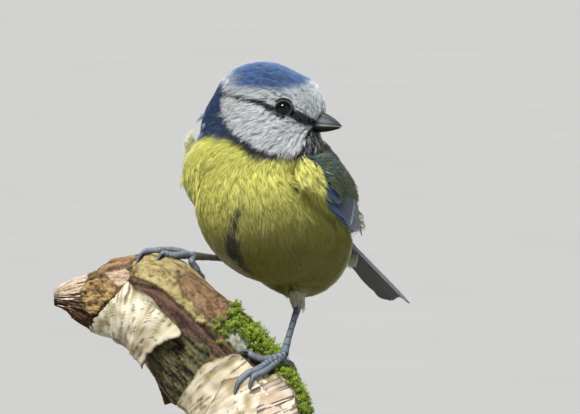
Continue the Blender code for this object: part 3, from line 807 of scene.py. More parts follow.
def off_eye_axis(points: Array) -> Array:
    """How far places lie from the line that looks out of the nearer eye, or far off if behind it.

    Args:
        points: Places in the row frame.

    Returns:
        Millimetres for each place, or 99 behind the eye.
    """
    local = HEAD.into(points)
    outward = unit(EYE_OUTWARD)
    off = local * np.where(local[:, 1:2] < 0, MIRROR, 1.0) - EYE_PLACE
    along = off @ outward
    aside = np.linalg.norm(off - along[:, None] * outward, axis=1)
    return np.where(along > -0.5, aside, 99.0)


def edge(line: Sequence[tuple[float, float]], around: Array) -> Array:
    """The height in degrees of a marking's edge, at places round the head."""
    stops = np.array(line)
    return np.interp(around, stops[:, 0], stops[:, 1])


@dataclass(frozen=True)
class Tone:
    """The darkest and the lightest barb of one patch of plumage, as sRGB hex values."""

    dark: str
    light: str

    def at(self, light: Array) -> Array:
        """Colours for shares from 0, dark, to 1, light."""
        return mix(to_linear(self.dark)[None], to_linear(self.light)[None], np.clip(light, 0, 1)[:, None])

    def anywhere(self, points: Array, light: Array) -> Array:
        """The same colours whatever the place, for feathers of one tone."""
        return self.at(light)


@dataclass(frozen=True)
class Markings:
    """The species' pattern, as edges round the head and patches of the body.

    An edge is a line of (degrees round from the bill, degrees up from the head's centre).
    """

    cap_edge: tuple = (
        (0, 38), (7, 36), (17, 33.5), (28, 32), (43, 31.4), (60, 30.3), (82, 30.8), (95, 29.6), (108, 27.5),
        (121, 25.5), (132, 27), (145, 32), (180, 36),
    )
    brow_edge: tuple = (
        (0, -5), (8, -3.2), (17, -0.8), (24, 2.8), (30, 6.6), (37, 10.0), (45, 11.4), (54, 11.6), (60, 11.0),
        (68, 12.8), (83, 15.4), (100, 16.4), (118, 16.4), (134, 17), (145, 24), (180, 28),
    )
    stripe_edge: tuple = (
        (0, -13), (4, -12.4), (14, -10.4), (20, -9.6), (26, -7.8), (32, -5.6), (40, -1.4), (50, -1.4),
        (56, 0.2), (62, 2.2), (70, 5.2), (82, 8.6), (99, 11), (117, 12), (132, 11), (136, 9),
    )
    cheek_edge: tuple = (
        (0, -7), (6, -10), (12, -15.4), (16, -22), (20, -27.4), (26, -35.0), (33, -39.6), (45, -41),
        (60, -40.2), (73, -37.8), (85, -32.8), (101, -28), (113, -23), (124, -16.5), (130, -8), (133, 2.5),
        (135, 9), (138, 20),
    )
    collar_edge: tuple = (
        (0, -34), (16, -36.5), (28, -41.5), (44, -44), (60, -44), (73, -42.5), (85, -39.5), (95, -35),
        (110, -31.5), (126, -30), (139, -28), (150, -29.5), (180, -26),
    )
    softness: float = 1.4  # degrees over which one band gives way to the next
    mask_radius: float = 2.45  # dark feathers round the eye
    cap: Tone = Tone("#1c3a68", "#5b85c2")
    cap_back: Tone = Tone("#4c648a", "#c6d2da")
    brow: Tone = Tone("#a3adb2", "#f6fafb")
    stripe: Tone = Tone("#040508", "#151a22")
    cheek: Tone = Tone("#aab4b9", "#fdfefe")
    collar: Tone = Tone("#06080d", "#1c2533")
    nape: Tone = Tone("#0b1224", "#3c5588")
    chin: Tone = Tone("#08090c", "#a9afb1")
    breast: Tone = Tone("#cecb50", "#fbf984")
    # The lower belly's own olive, made darker still as painted shade of the underside.
    belly: Tone = Tone("#4b4504", "#8c841a")
    side: Tone = Tone("#96964a", "#dadb8c")
    stripe_belly: Tone = Tone("#0c0d0b", "#43453d")
    vent: Tone = Tone("#8f8662", "#d6cfae")
    mantle: Tone = Tone("#323d2c", "#6f7d55")
    rump: Tone = Tone("#6e7a3a", "#aab268")
    undertail: Tone = Tone("#a5a266", "#e3e1b4")
    thigh: Tone = Tone("#bebd92", "#f8f7d8")
    # Each thigh from hip to ankle, in the row frame.
    thighs: tuple = (((7.6, 8.6, 57.0), (8.9, 6.4, 50.2)), ((-1.5, 14.6, 63.5), (-5.4, 18.0, 60.6)))
    # The belly's dark stripe: the place ahead, the middle to the left and half the width.
    stripe_line: tuple = (
        (1.2, -2.4, 0.5), (5.6, -2.2, 1.7), (9.4, -2.3, 2.2), (13.1, -1.3, 2.0), (16.1, -0.4, 1.5),
        (19.1, 1.6, 1.2), (20.5, 2.9, 0.8), (21.5, 3.6, 0.3),
    )

    def wander(self, points: Array) -> Array:
        """How far the body's markings stray from their lines, in millimetres."""
        return (noise(points, 2.5, 3) - 0.5) * 2.0

    def yellow(self, points: Array, light: Array) -> Array:
        """The yellow of breast and flank, darker lower down: the belly's own olive, with painted shade of the
        underside.

        Args:
            points: Places in the row frame.
            light: Each place's share from its patch's darkest barb to its lightest.

        Returns:
            Linear colours.
        """
        wander = self.wander(points)
        # Darker the lower the place: the belly's olive, with painted shade of the underside.
        low = ramp(84.0, 62.0, points[:, 2] + wander * 2.0)[:, None]
        return mix(self.breast.at(light), self.belly.at(light), low * 0.9)

    def body(self, points: Array, light: Array) -> Array:
        """Colours below the collar.

        Args:
            points: Places in the row frame.
            light: Each place's share from its patch's darkest barb to its lightest.

        Returns:
            Linear colours.
        """
        ahead, left, up = BODY.into(points).T
        wander = self.wander(points)
        colour = self.yellow(points, light)
        far_side = ramp(-9.0, -17.0, left + wander)[:, None] * ramp(4.0, 12.0, ahead)[:, None]
        colour = mix(colour, self.side.at(light), far_side * 0.7)
        vent = ramp(-10.0, -15.0, up + wander) * ramp(15.0, 6.0, ahead + wander * 1.5)
        vent = vent * ramp(5.0, 2.0, np.abs(left + 6.5))
        colour = mix(colour, self.vent.at(light), vent[:, None] * 0.7)
        line = np.array(self.stripe_line)
        middle, half = (np.interp(ahead, line[:, 0], line[:, column]) for column in (1, 2))
        off = np.abs(left - middle + wander * 0.9)
        stripe = np.clip((half + 0.5 - off) / 0.9, 0, 1)
        stripe *= ramp(23.0, 20.0, ahead) * ramp(-2.0, 2.0, ahead) * ramp(-6.0, -9.0, up)
        flecks = noise(points * np.array((1.0, 1.0, 0.3)), 0.6, 8)
        stripe *= np.where(flecks + 0.12 * ramp(1.0, -1.0, middle - left) > 0.68, 0.1, 1.0)
        colour = mix(colour, self.stripe_belly.at(light), stripe[:, None])
        under = ramp(-22.5, -27.0, ahead) * ramp(7.0, 4.0, up)
        colour = mix(colour, self.undertail.at(light), under[:, None])
        round_back = np.degrees(np.arctan2(np.abs(left), up))
        back = ramp(66.0, 52.0, round_back + wander * 4.0) * ramp(20.0, 14.0, ahead - up * 0.35 + wander)
        back = np.maximum(back, ramp(1.5, 4.5, up + wander) * ramp(14.5, 11.0, ahead + wander))
        colour = mix(colour, self.mantle.at(light), back[:, None])
        rump = ramp(-14.0, -19.0, ahead) * ramp(5.0, 7.0, up)
        colour = mix(colour, self.rump.at(light), rump[:, None])
        for hip, ankle in self.thighs:
            start, run = np.array(hip), np.array(ankle) - np.array(hip)
            share = np.clip((points - start) @ run / (run @ run), 0, 1.4)
            off = np.linalg.norm(points - start - run * share[:, None], axis=1)
            sock = ramp(3.4, 2.2, off + wander * 0.4) * ramp(0.45, 0.8, share)
            colour = mix(colour, self.thigh.at(light), sock[:, None])
        return colour

    def colours(self, points: Array, light: Array) -> Array:
        """Colours of the plumage anywhere on the bird.

        Args:
            points: Places in the row frame.
            light: Each place's share from its patch's darkest barb to its lightest.

        Returns:
            Linear colours.
        """
        around, up, local = head_angles(points)
        wander = (noise(points, 1.3, 5) - 0.5) * 2.2
        # On the side turned away from the breast, the back comes close to the cheek: it isn't head.
        apart = np.linalg.norm(local, axis=1)
        up = up + wander - 34.0 * ramp(12.8, 15.4, apart) * ramp(0.5, 4.0, local[:, 1])
        up = up - 34.0 * ramp(17.6, 20.0, apart)

        def above(line: Sequence[tuple[float, float]], softness: float = self.softness) -> Array:
            """How far each place lies above a marking's edge, from 0 to 1."""
            return np.clip((up - edge(line, around)) / softness + 0.5, 0.0, 1.0)[:, None]

        colour = self.body(points, light)
        behind = ramp(98.0, 130.0, around)[:, None]
        band = mix(self.collar.at(light), self.nape.at(light), behind)
        bib = (ramp(20.0, 12.0, around) * ramp(-37.0, -31.0, up))[:, None]
        pale = noise(points * np.array((1.0, 1.0, 0.4)), 0.5, 11) > 0.55
        band = mix(band, self.chin.at(np.where(pale, light + 0.25, light * 0.12)), bib)
        colour = mix(colour, band, above(self.collar_edge, 2.5))
        colour = mix(colour, self.cheek.at(light), above(self.cheek_edge) * (around < 137.5)[:, None])
        colour = mix(colour, self.stripe.at(light), above(self.stripe_edge) * (around < 137.0)[:, None])
        nape = above(self.stripe_edge) * ramp(128.0, 137.0, around)[:, None]
        colour = mix(colour, self.nape.at(light), nape)
        colour = mix(colour, self.brow.at(light), above(self.brow_edge))
        cap_end = (ramp(105, 135, around) * ramp(50, 36, up))[:, None]
        cap = mix(self.cap.at(light), self.cap_back.at(light), cap_end)
        streaks = (noise(points * np.array((0.35, 1.0, 1.0)), 0.45, 21)[:, None] - 0.5) * 0.9
        over = above(self.cap_edge, 9.0)
        colour = mix(colour, cap, np.clip(over + streaks * 4.0 * over * (1.0 - over), 0.0, 1.0))
        mask = np.clip((self.mask_radius - off_eye_axis(points)) / 0.3 + 0.5, 0, 1)[:, None]
        return mix(colour, self.stripe.at(light * 0.6), mask)


MARKINGS = Markings()


@dataclass(frozen=True)
class Lie:
    """Which way the coat lies: back from the bill over the head, and from neck to vent on the body."""

    throat: tuple = (-1.0, -4.0, 92.0)
    vent: tuple = (-21.0, 0.0, 0.0)

    def heading(self, points: Array, normals: Array) -> Array:
        """The direction that a feather points in.

        Args:
            points: Places on the skin, in the row frame.
            normals: The skin's outward normals there.

        Returns:
            Directions along the skin.
        """
        local = HEAD.into(points)
        from_bill = local - BILL_BASE
        reach = np.linalg.norm(from_bill, axis=1, keepdims=True)
        droop = ramp(2.0, 20.0, reach[:, 0])[:, None] * np.array((-0.15, 0.0, -0.75))
        flip = np.where(local[:, 1:2] < 0, MIRROR, 1.0)
        eye = (local * flip - EYE_PLACE) * flip
        near_eye = ramp(4.2, 2.2, np.linalg.norm(eye, axis=1))[:, None]
        on_head = HEAD.turn_out(unit(unit(from_bill) + droop) + unit(eye) * near_eye * 0.55)
        source = points - np.array(self.throat)
        sink = BODY.out(np.array(self.vent)) - points
        far = np.linalg.norm(sink, axis=1, keepdims=True)
        on_body = unit(source) * ramp(8.0, 40.0, far) + unit(sink)
        on_body[:, 2] -= 0.15
        share = ramp(82.0, 89.0, points[:, 2] - 0.12 * points[:, 0])[:, None]
        way = mix(unit(on_body), unit(on_head), share)
        return unit(way - normals * np.sum(way * normals, axis=1, keepdims=True))


@dataclass(frozen=True)
class FeatherKind:
    """One kind of body feather: a shaft with loose barbs fanned from it.

    The spread is half the feather's width as a share of its length. The loft is how far the
    feather stands off the skin, and the barb width and the loft are in millimetres.
    """

    barbs: int
    barb_width: float
    spread: float
    loft: float
    ruffle: float


STEPS = 5  # stretches along a feather's shaft
RINGS = np.array((0.0, 0.42, 0.78, 1.0))  # places along a barb, the last its point
BARB_FACES = np.array(
    [(0, 1, 2)]
    + [(k, k + 2, k + 5) for k in (0, 3)]
    + [(k, k + 5, k + 3) for k in (0, 3)]
    + [(k + 2, k + 1, k + 4) for k in (0, 3)]
    + [(k + 2, k + 4, k + 5) for k in (0, 3)]
    + [(k + 1, k, k + 3) for k in (0, 3)]
    + [(k + 1, k + 3, k + 4) for k in (0, 3)]
    + [(6, 8, 9), (8, 7, 9), (7, 6, 9)]
)
BARB_POINTS = 10  # three for each ring, and the point
RING_OF_POINT = [0, 0, 0, 1, 1, 1, 2, 2, 2, 3]


def barb_faces(count: int) -> Array:
    """The triangles of some barbs whose points follow each other."""
    return (BARB_FACES[None] + BARB_POINTS * np.arange(count)[:, None, None]).reshape(-1, 3)


def unwrap(points: Array) -> Array:
    """Places of the skin on a flat map: the head above the body, each opened down its back.

    Args:
        points: Places on the skin, in the row frame.

    Returns:
        Two coordinates from 0 to 1 for each place.
    """
    flat = np.zeros((len(points), 2))
    on_head = points[:, 2] - 0.12 * points[:, 0] > 86.0
    for part, base, chosen in ((HEAD, 0.51, on_head), (BODY, 0.01, ~on_head)):
        local = unit(part.into(points[chosen]))
        flat[chosen, 0] = 0.5 + np.arctan2(local[:, 1], -local[:, 2]) / (2 * math.pi) * 0.96
        flat[chosen, 1] = base + 0.48 * 0.5 * (1.0 + local[:, 0])
    return flat


class Plumage:
    """Grows feathers of loose barbs on a surface."""

    patch = 0.003  # the size of one feather on the bake's map

    def __init__(self, surface: Surface, draw: np.random.Generator) -> None:
        """Keeps the surface that the feathers lie on, and the random numbers.

        Args:
            surface: What the feathers lie on.
            draw: The random numbers.
        """
        self.surface = surface
        self.draw = draw
        self.lie = Lie()

    def shafts(
        self,
        roots: Array,
        normals: Array,
        length: Array,
        heading: Optional[Array],
        follow: float,
        loose: bool,
    ) -> tuple[Array, Array, Array]:
        """Lays each feather's shaft over the surface.

        Args:
            roots: Where the feathers grow.
            normals: The way out of the surface there.
            length: The feathers' lengths.
            heading: The way that each feather sets out, if it isn't the coat's lie.
            follow: How far a feather turns to the lie as it goes, from 0 to 1.
            loose: Whether it runs straight on instead of keeping to the surface.

        Returns:
            Points, normals and headings at each step of each shaft.
        """
        if loose:
            steps = np.linspace(0, 1, STEPS + 1)[None, :, None]
            straight = roots[:, None] + heading[:, None] * length[:, None, None] * steps
            return straight, *(np.repeat(ways[:, None], STEPS + 1, 1) for ways in (normals, heading))
        place, up = self.surface.seen_from(roots, normals)
        way = self.lie.heading(place, up) if heading is None else heading
        points, ups, ways = [place], [up], [way]
        for _ in range(STEPS):
            place, fresh = self.surface.seen_from(place + way * (length / STEPS)[:, None], up)
            up = unit(up * 0.4 + fresh * 0.6)
            way = unit(mix(way, self.lie.heading(place, up), 0.5 * follow))
            way = unit(way - up * np.sum(way * up, axis=1, keepdims=True))
            points.append(place)
            ups.append(up)
            ways.append(way)
        return np.stack(points, 1), np.stack(ups, 1), np.stack(ways, 1)

    def grow(
        self,
        roots: Array,
        normals: Array,
        kind: FeatherKind,
        length: Array,
        heading: Optional[Array] = None,
        colours: Optional[Callable[[Array, Array], Array]] = None,
        follow: float = 1.0,
        loose: bool = False,
    ) -> Build:
        """Grows one feather at each root.

        Args:
            roots: Where the feathers grow.
            normals: The way out of the surface there.
            kind: The kind of feather.
            length: Each feather's length, in millimetres.
            heading: The way that each sets out, if it isn't the coat's lie.
            colours: The markings, if they aren't the bird's own.
            follow: How far a feather turns to the lie as it goes.
            loose: Whether it runs straight on instead of keeping to the surface.

        Returns:
            Closed, tapered barbs, all joined in one build.
        """
        draw, count, barbs = self.draw, len(roots), kind.barbs
        length = length * draw.uniform(0.85, 1.15, count)
        wide = (kind.spread * length)[:, None]
        loft = np.minimum(kind.loft, 0.34 * length)[:, None, None]
        shaft, ups, ways = self.shafts(roots, normals, length, heading, follow, loose)
        order = (np.arange(barbs) + 0.5) / barbs * 2.0 - 1.0
        rank = np.abs(order)[None] + draw.uniform(-0.1, 0.1, (count, barbs))
        start = 0.6 * draw.random((count, barbs)) * (1.0 - 0.5 * rank)
        end = 1.04 - 0.4 * np.clip(rank, 0, 1) ** 2 + draw.uniform(-0.22, 0.1, (count, barbs))
        spread = (np.clip(rank, 0.03, 1.1) * np.sign(order) + draw.normal(0, 0.16, (count, barbs))) * wide
        bend = draw.normal(0, 0.07, count)[:, None] + draw.normal(0, 0.035, (count, barbs))
        bend = bend * length[:, None]
        along = start[..., None] + (end - start)[..., None] * RINGS
        side = spread[..., None] * RINGS**0.75 + bend[..., None] * along**2
        rise = loft * np.sin(np.clip(along, 0, 1) * math.pi * 0.62)
        rise = rise + draw.normal(0, kind.ruffle, (count, barbs, 1)) * loft * RINGS
        rise = np.where(RINGS < 0.01, np.minimum(rise, 0.3 * loft) - 0.15, rise)
        step = np.clip(along, 0.0, 1.0) * STEPS
        first = np.minimum(step.astype(int), STEPS - 1)
        share = (step - first)[..., None]
        feather = np.arange(count)[:, None, None]

        def along_shaft(values: Array) -> Array:
            """The shafts' values at each barb's rings."""
            return values[feather, first] * (1 - share) + values[feather, first + 1] * share

        up, way = unit(along_shaft(ups)), unit(along_shaft(ways))
        across = np.cross(way, up)
        beyond = np.maximum(along - 1.0, 0.0)[..., None] * length[:, None, None, None]
        spine = along_shaft(shaft) + across * side[..., None] + up * rise[..., None] + way * beyond
        width = kind.barb_width * draw.uniform(0.75, 1.25, (count, barbs, 1)) * np.array((0.62, 0.95, 0.6))
        ring = spine[..., :3, :]
        half = across[..., :3, :] * (0.5 * width)[..., None]
        ridge = up[..., :3, :] * (0.36 * width)[..., None]
        corners = np.stack((ring - half, ring + half, ring + ridge), axis=3)
        points = np.concatenate((corners.reshape(count, barbs, 9, 3), spine[..., 3:, :]), axis=2)
        shade = 0.5 + draw.normal(0, 0.05, (count, 1)) + draw.normal(0, 0.2, (count, barbs))
        # Each barb takes its colour from a place of its own, so that markings interlock at their edges.
        at = draw.uniform(0.25, 1.0, (count, barbs, 1, 1))
        own = spine[..., :1, :] * (1 - at) + spine[..., 3:, :] * at
        looked = mix(spine, own, np.array((0.8, 0.75, 0.7, 0.8))[:, None])
        light = np.repeat(shade[..., None], 4, axis=2)
        marks = (colours or MARKINGS.colours)(looked.reshape(-1, 3), light.ravel()).reshape(looked.shape)
        # Each barb is darker towards its root and a little lighter at its point, less so on pale feathers:
        # grey feather bases, with painted shade deep in the coat.
        pale = ramp(0.15, 0.55, marks.mean(axis=-1, keepdims=True))
        marks = marks * (1.0 - np.array((0.26, 0.08, 0.0, -0.06))[:, None] * (1.0 - 0.7 * pale))
        tint = marks[..., RING_OF_POINT, :]
        across_map = np.clip(side / (2.4 * wide[..., None]), -0.45, 0.45)[..., RING_OF_POINT]
        across_map = across_map + np.array((-0.04, 0.04, 0.0) * 3 + (0.0,))
        along_map = np.clip(along, 0, 1.1)[..., RING_OF_POINT] * 0.9 - 0.45
        places = unwrap(roots)[:, None, None] + self.patch * np.stack((across_map, along_map), -1)
        faces = barb_faces(count * barbs)
        return Build(points.reshape(-1, 3), faces, tint.reshape(-1, 3), places.reshape(-1, 2))

    @staticmethod
    def without(build: Build, clear: Callable[[Array], Array]) -> Build:
        """Leaves out each barb that has a point where none may be.

        Args:
            build: The barbs.
            clear: Whether each place has to stay clear.

        Returns:
            The other barbs.
        """
        kept = ~clear(build.points).reshape(-1, BARB_POINTS).any(axis=1)
        points, tint, bake_map = (
            values.reshape(len(kept), BARB_POINTS, -1)[kept].reshape(-1, values.shape[1])
            for values in (build.points, build.tint, build.bake_map)
        )
        return Build(points, barb_faces(int(kept.sum())), tint, bake_map)


@dataclass(frozen=True)
class Skin:
    """The bird's skin: one form over head, neck, trunk and thighs, sunk by the coat's depth."""

    nodes: tuple = ("head", "neck", "torso", "thigh_left", "thigh_right")
    seal: float = 0.3
    voxel: float = 0.65
    smoothing: int = 6
    face_depth: float = 0.4
    head_depth: float = 0.55
    body_depth: float = 0.8
    light: float = 0.25  # its share from each patch's darkest barb to its lightest

    def depth(self, points: Array) -> Array:
        """How far each place of the solids' surface sinks to reach the skin, in millimetres.

        Args:
            points: Places on the solids' surface.

        Returns:
            Depths in millimetres.
        """
        from_bill = np.linalg.norm(HEAD.into(points) - BILL_BASE, axis=1)
        on_head = mix(self.face_depth, self.head_depth, ramp(2.0, 9.0, from_bill))
        return self.seal + mix(on_head, self.body_depth, ramp(90.0, 82.0, points[:, 2]))

    def surface(self) -> Surface:
        """Merges the solids into one form and smooths away the gaps that parted them.

        Returns:
            The skin's own shape.
        """
        bm = bmesh.new()
        for name in self.nodes:
            bm.from_mesh(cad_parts[name].data)
        bmesh.ops.remove_doubles(bm, verts=bm.verts[:], dist=1e-6)
        mesh = bpy.data.meshes.new("skin_form")
        bm.to_mesh(mesh)
        bm.free()
        form = bpy.data.objects.new("skin_form", mesh)
        bpy.context.scene.collection.objects.link(form)
        swell = form.modifiers.new("seal", "DISPLACE")
        swell.strength, swell.mid_level = self.seal * MM, 0.0
        merge = form.modifiers.new("merge", "REMESH")
        merge.mode, merge.voxel_size = "VOXEL", self.voxel * MM
        smooth = form.modifiers.new("smooth", "SMOOTH")
        smooth.factor, smooth.iterations = 0.5, self.smoothing
        form.modifiers.new("triangles", "TRIANGULATE")
        made = form.evaluated_get(bpy.context.evaluated_depsgraph_get()).to_mesh()
        points, faces = mesh_shape(made)
        normals = np.empty(len(made.vertices) * 3)
        made.vertices.foreach_get("normal", normals)
        bpy.data.objects.remove(form)
        return Surface(points - normals.reshape(-1, 3) * self.depth(points)[:, None], faces)

    def build(self, surface: Surface) -> None:
        """Makes the skin a piece that stands for the solids of the flesh.

        Args:
            surface: The skin's own shape.
        """
        tint = MARKINGS.colours(surface.points, np.full(len(surface.points), self.light))
        # Painted shade: the skin is darker than the markings, most where they are dark, for the shade deep
        # between the barbs.
        tint = tint * mix(0.6, 0.95, ramp(0.1, 0.4, tint.mean(axis=1, keepdims=True)))
        Build(surface.points, surface.faces, tint).piece("skin", SkinUnderDown(), "body_plumage", self.nodes)


def mesh_shape(mesh: bpy.types.Mesh) -> tuple[Array, Array]:
    """A mesh's own shape.

    Args:
        mesh: The mesh, in metres.

    Returns:
        Its points in millimetres, and its triangles.
    """
    mesh.calc_loop_triangles()
    points = np.empty(len(mesh.vertices) * 3)
    mesh.vertices.foreach_get("co", points)
    faces = np.empty(len(mesh.loop_triangles) * 3, np.int32)
    mesh.loop_triangles.foreach_get("vertices", faces)
    return points.reshape(-1, 3) / MM, faces.reshape(-1, 3)


def joined_surface(shapes: Sequence[tuple[Array, Array]]) -> Surface:
    """One surface over several shapes.

    Args:
        shapes: The points and the triangles of each.

    Returns:
        The surface over all of them.
    """
    starts = np.cumsum([0] + [len(points) for points, _ in shapes[:-1]])
    faces = np.concatenate([faces + start for (_, faces), start in zip(shapes, starts)])
    return Surface(np.concatenate([points for points, _ in shapes]), faces)


class Region(Enum):
    """The parts of the coat, each a piece of its own."""

    CROWN = "crown"
    CHEEK_LEFT = "cheek_left"
    CHEEK_RIGHT = "cheek_right"
    NAPE = "nape"
    THROAT = "throat"
    MANTLE = "mantle"
    RUMP = "rump"
    BREAST_LEFT = "breast_left"
    BREAST_RIGHT = "breast_right"
    BELLY = "belly"
    FLANK_LEFT = "flank_left"
    FLANK_RIGHT = "flank_right"
    UNDERTAIL = "undertail"


HEAD_REGIONS = (Region.CROWN, Region.CHEEK_LEFT, Region.CHEEK_RIGHT, Region.NAPE, Region.THROAT)


@dataclass
class Coat:
    """The body's own coat: where each feather grows, how long it is and which piece holds it."""

    head_spacing: float = 0.84
    body_spacing: float = 1.13
    finest: float = 0.62  # the spacing round the eyes, as a share of the head's
    eye_rim: float = 3.2  # how far from the eye's middle that spacing reaches
    face_reach: float = 7.5  # how far from the bill's root the face's fine feathers grow
    face_rim: float = 3.4  # and how far from the eye's middle
    bill_room: float = 1.6
    eye_room: float = 1.95
    eye_opening: float = 1.72
    face_kind: FeatherKind = FeatherKind(barbs=16, barb_width=0.08, spread=0.26, loft=0.6, ruffle=0.12)
    head_kind: FeatherKind = FeatherKind(barbs=16, barb_width=0.105, spread=0.24, loft=0.85, ruffle=0.12)
    body_kind: FeatherKind = FeatherKind(barbs=24, barb_width=0.135, spread=0.22, loft=0.9, ruffle=0.1)

    def length(self, points: Array) -> Array:
        """How long the feathers are that grow at each place.

        Args:
            points: Places in the row frame.

        Returns:
            Lengths in millimetres.
        """
        reach = np.linalg.norm(HEAD.into(points) - BILL_BASE, axis=1)
        head = np.interp(reach, (1.5, 4.0, 9.0, 16.0, 22.0), (1.1, 2.3, 3.6, 4.4, 5.2))
        head = head * np.interp(off_eye_axis(points), (2.0, 4.2), (0.3, 1.0))
        body = np.interp(points[:, 2], (55, 62, 75, 86, 92), (4.2, 7.4, 8.0, 6.6, 4.0))
        body = np.where(BODY.into(points)[:, 0] < -14, 7.0, body)
        return mix(head, body, ramp(91.0, 85.0, points[:, 2]))

    def on_head(self, points: Array) -> Array:
        """Whether each place belongs to the head."""
        return points[:, 2] - 0.12 * points[:, 0] > 87.0

    def spacing(self, points: Array) -> Array:
        """The distance between feathers, or 0 where none grows.

        Args:
            points: Places in the row frame.

        Returns:
            Distances in millimetres.
        """
        local = HEAD.into(points)
        gap = np.where(self.on_head(points), self.head_spacing, self.body_spacing)
        near = local[:, 0] - BILL_BASE[0]
        gap = np.where(self.on_head(points) & (near > -4), self.head_spacing * 0.8, gap)
        off_bill = np.hypot(local[:, 1], local[:, 2] - BILL_BASE[2])
        gap = np.where((near > -0.8) & (off_bill < self.bill_room), 0.0, gap)
        off_eye = off_eye_axis(points)
        gap = np.where(off_eye < self.eye_rim, self.head_spacing * self.finest, gap)
        return np.where(off_eye < self.eye_room, 0.0, gap)

    def regions(self, points: Array) -> Array:
        """The piece that each place's feather belongs to.

        Args:
            points: Places in the row frame.

        Returns:
            A region for each place.
        """
        around, up, local = head_angles(points)
        ahead, left, high = BODY.into(points).T
        round_back = np.degrees(np.arctan2(np.abs(left), high))
        found = np.where(left > 0, Region.FLANK_LEFT, Region.FLANK_RIGHT)
        found = np.where((high < -4) & (ahead < 14), Region.BELLY, found)
        found = np.where(ahead > 9, np.where(left > -1, Region.BREAST_LEFT, Region.BREAST_RIGHT), found)
        found = np.where((ahead < -15) & (high < 4), Region.UNDERTAIL, found)
        found = np.where((round_back < 58) & (ahead < 17), Region.MANTLE, found)
        found = np.where((ahead < -13) & (high >= 4), Region.RUMP, found)
        head = np.where(local[:, 1] > 0, Region.CHEEK_LEFT, Region.CHEEK_RIGHT)
        head = np.where((around > 126), Region.NAPE, head)
        head = np.where(up < edge(MARKINGS.cheek_edge, around), Region.THROAT, head)
        head = np.where(up > edge(MARKINGS.brow_edge, around), Region.CROWN, head)
        return np.where(self.on_head(points), head, found)

    def build(self, skin: Surface, plumage: Plumage, cover: BVHTree) -> None:
        """Grows the coat.

        Args:
            skin: The surface that the feathers grow from.
            plumage: What grows them, over skin, wings and tail.
            cover: The wings and the tail, under which no feather grows.
        """
        roots, normals = skin.scatter(self.spacing, self.head_spacing * self.finest, plumage.draw)
        bare = np.array([
            cover.ray_cast(Vector(root - way * 0.5), Vector(way), 12.0)[0] is not None
            for root, way in zip(roots, normals)
        ])
        roots, normals = roots[~bare], normals[~bare]
        regions, length = self.regions(roots), self.length(roots)
        reach = np.linalg.norm(HEAD.into(roots) - BILL_BASE, axis=1)
        face = (reach < self.face_reach) | (off_eye_axis(roots) < self.face_rim)
        for region in Region:
            on_head = region in HEAD_REGIONS
            if on_head:
                kinds = ((face, self.face_kind), (~face, self.head_kind))
            else:
                kinds = ((np.ones(len(roots), bool), self.body_kind),)
            parts = []
            for of_kind, kind in kinds:
                some = of_kind & (regions == region)
                if some.any():
                    parts.append(plumage.grow(roots[some], normals[some], kind, length[some]))
            coat = Build.joined(parts)
            if on_head:
                coat = Plumage.without(coat, covers_eye)
            slot = "head_plumage" if on_head else "body_plumage"
            coat.piece("coat_" + region.value, DownyKeratin(), slot)


def in_picture(surface: Surface, spots: Array) -> tuple[Array, Array]:
    """Finds what the picture shows at some places of it.

    Args:
        surface: What the camera looks at.
        spots: Places to the right and up in the picture, in millimetres of the row frame.

    Returns:
        The surface's places there, or the nearest ones, and its normals, towards the camera.
    """
    tilt = math.radians(3.0)
    away = Vector((0.0, math.cos(tilt), -math.sin(tilt)))
    places, normals = [], []
    for right, up in spots:
        start = Vector((right, -100.0, (up + 100.0 * math.sin(tilt)) / math.cos(tilt)))
        place, normal, _, _ = surface.tree.ray_cast(start, away)
        if place is None:
            place, normal, _, _ = surface.tree.find_nearest(start + away * 105.0)
        places.append(place)
        normals.append(-normal if normal @ away > 0 else normal)
    return np.array(places), np.array(normals)


@dataclass(frozen=True)
class Lap:
    """Feathers of breast and flank that lap over a folded wing, as far as the photo shows them.

    Each row is a height in the picture and the stretch of it, to the right, where feathers grow.
    The run is how far each reaches to the right and up. All are in millimetres of the row frame.
    """

    side: Side
    rows: tuple
    run: tuple
    lengths: tuple = (3.0, 9.0)
    gap: float = 0.85
    kind: FeatherKind = FeatherKind(barbs=24, barb_width=0.14, spread=0.2, loft=0.75, ruffle=0.1)

    def build(self, plumage: Plumage) -> Build:
        """Grows the feathers, row upon row from the top.

        Args:
            plumage: What grows them.

        Returns:
            Their barbs.
        """
        draw = plumage.draw
        heights, left, right = np.array(self.rows).T
        spots = []
        for up in np.arange(heights[0], heights[-1], -self.gap):
            low, high = (np.interp(-up, -heights, ends) for ends in (left, right))
            across = np.linspace(low, high, max(2, round((high - low) / self.gap)))
            spots.append(np.stack((across, np.full(len(across), up)), -1))
        spots = np.concatenate(spots)
        spots = spots + draw.uniform(-0.35, 0.35, spots.shape) * self.gap
        roots, normals = in_picture(plumage.surface, spots)
        tips, outward = in_picture(plumage.surface, spots + np.array(self.run))
        roots, tips = roots + normals * 0.2, tips + outward * 0.7
        way = unit(tips - roots)
        normals = unit(normals + outward)
        length = np.clip(np.linalg.norm(tips - roots, axis=1), *self.lengths)
        return plumage.grow(roots, normals, self.kind, length, way, MARKINGS.yellow, loose=True)


LAPS = (
    Lap(
        Side.LEFT,
        rows=((87.2, 9.5, 11.4), (84.9, 8.0, 12.2), (82, 8.0, 12.8), (78.8, 8.5, 14.0), (76.4, 9.5, 15.2),
              (74, 10.5, 16.8), (71.5, 12.5, 18.4), (69, 15.0, 19.8)),
        run=(2.4, -4.6),
    ),
    Lap(
        Side.RIGHT,
        rows=((90, -18.0, -14.0), (87, -19.0, -15.0), (84, -19.2, -15.0), (81, -18.6, -15.0),
              (77, -18.0, -14.0)),
        run=(0.4, -4.8),
    ),
)


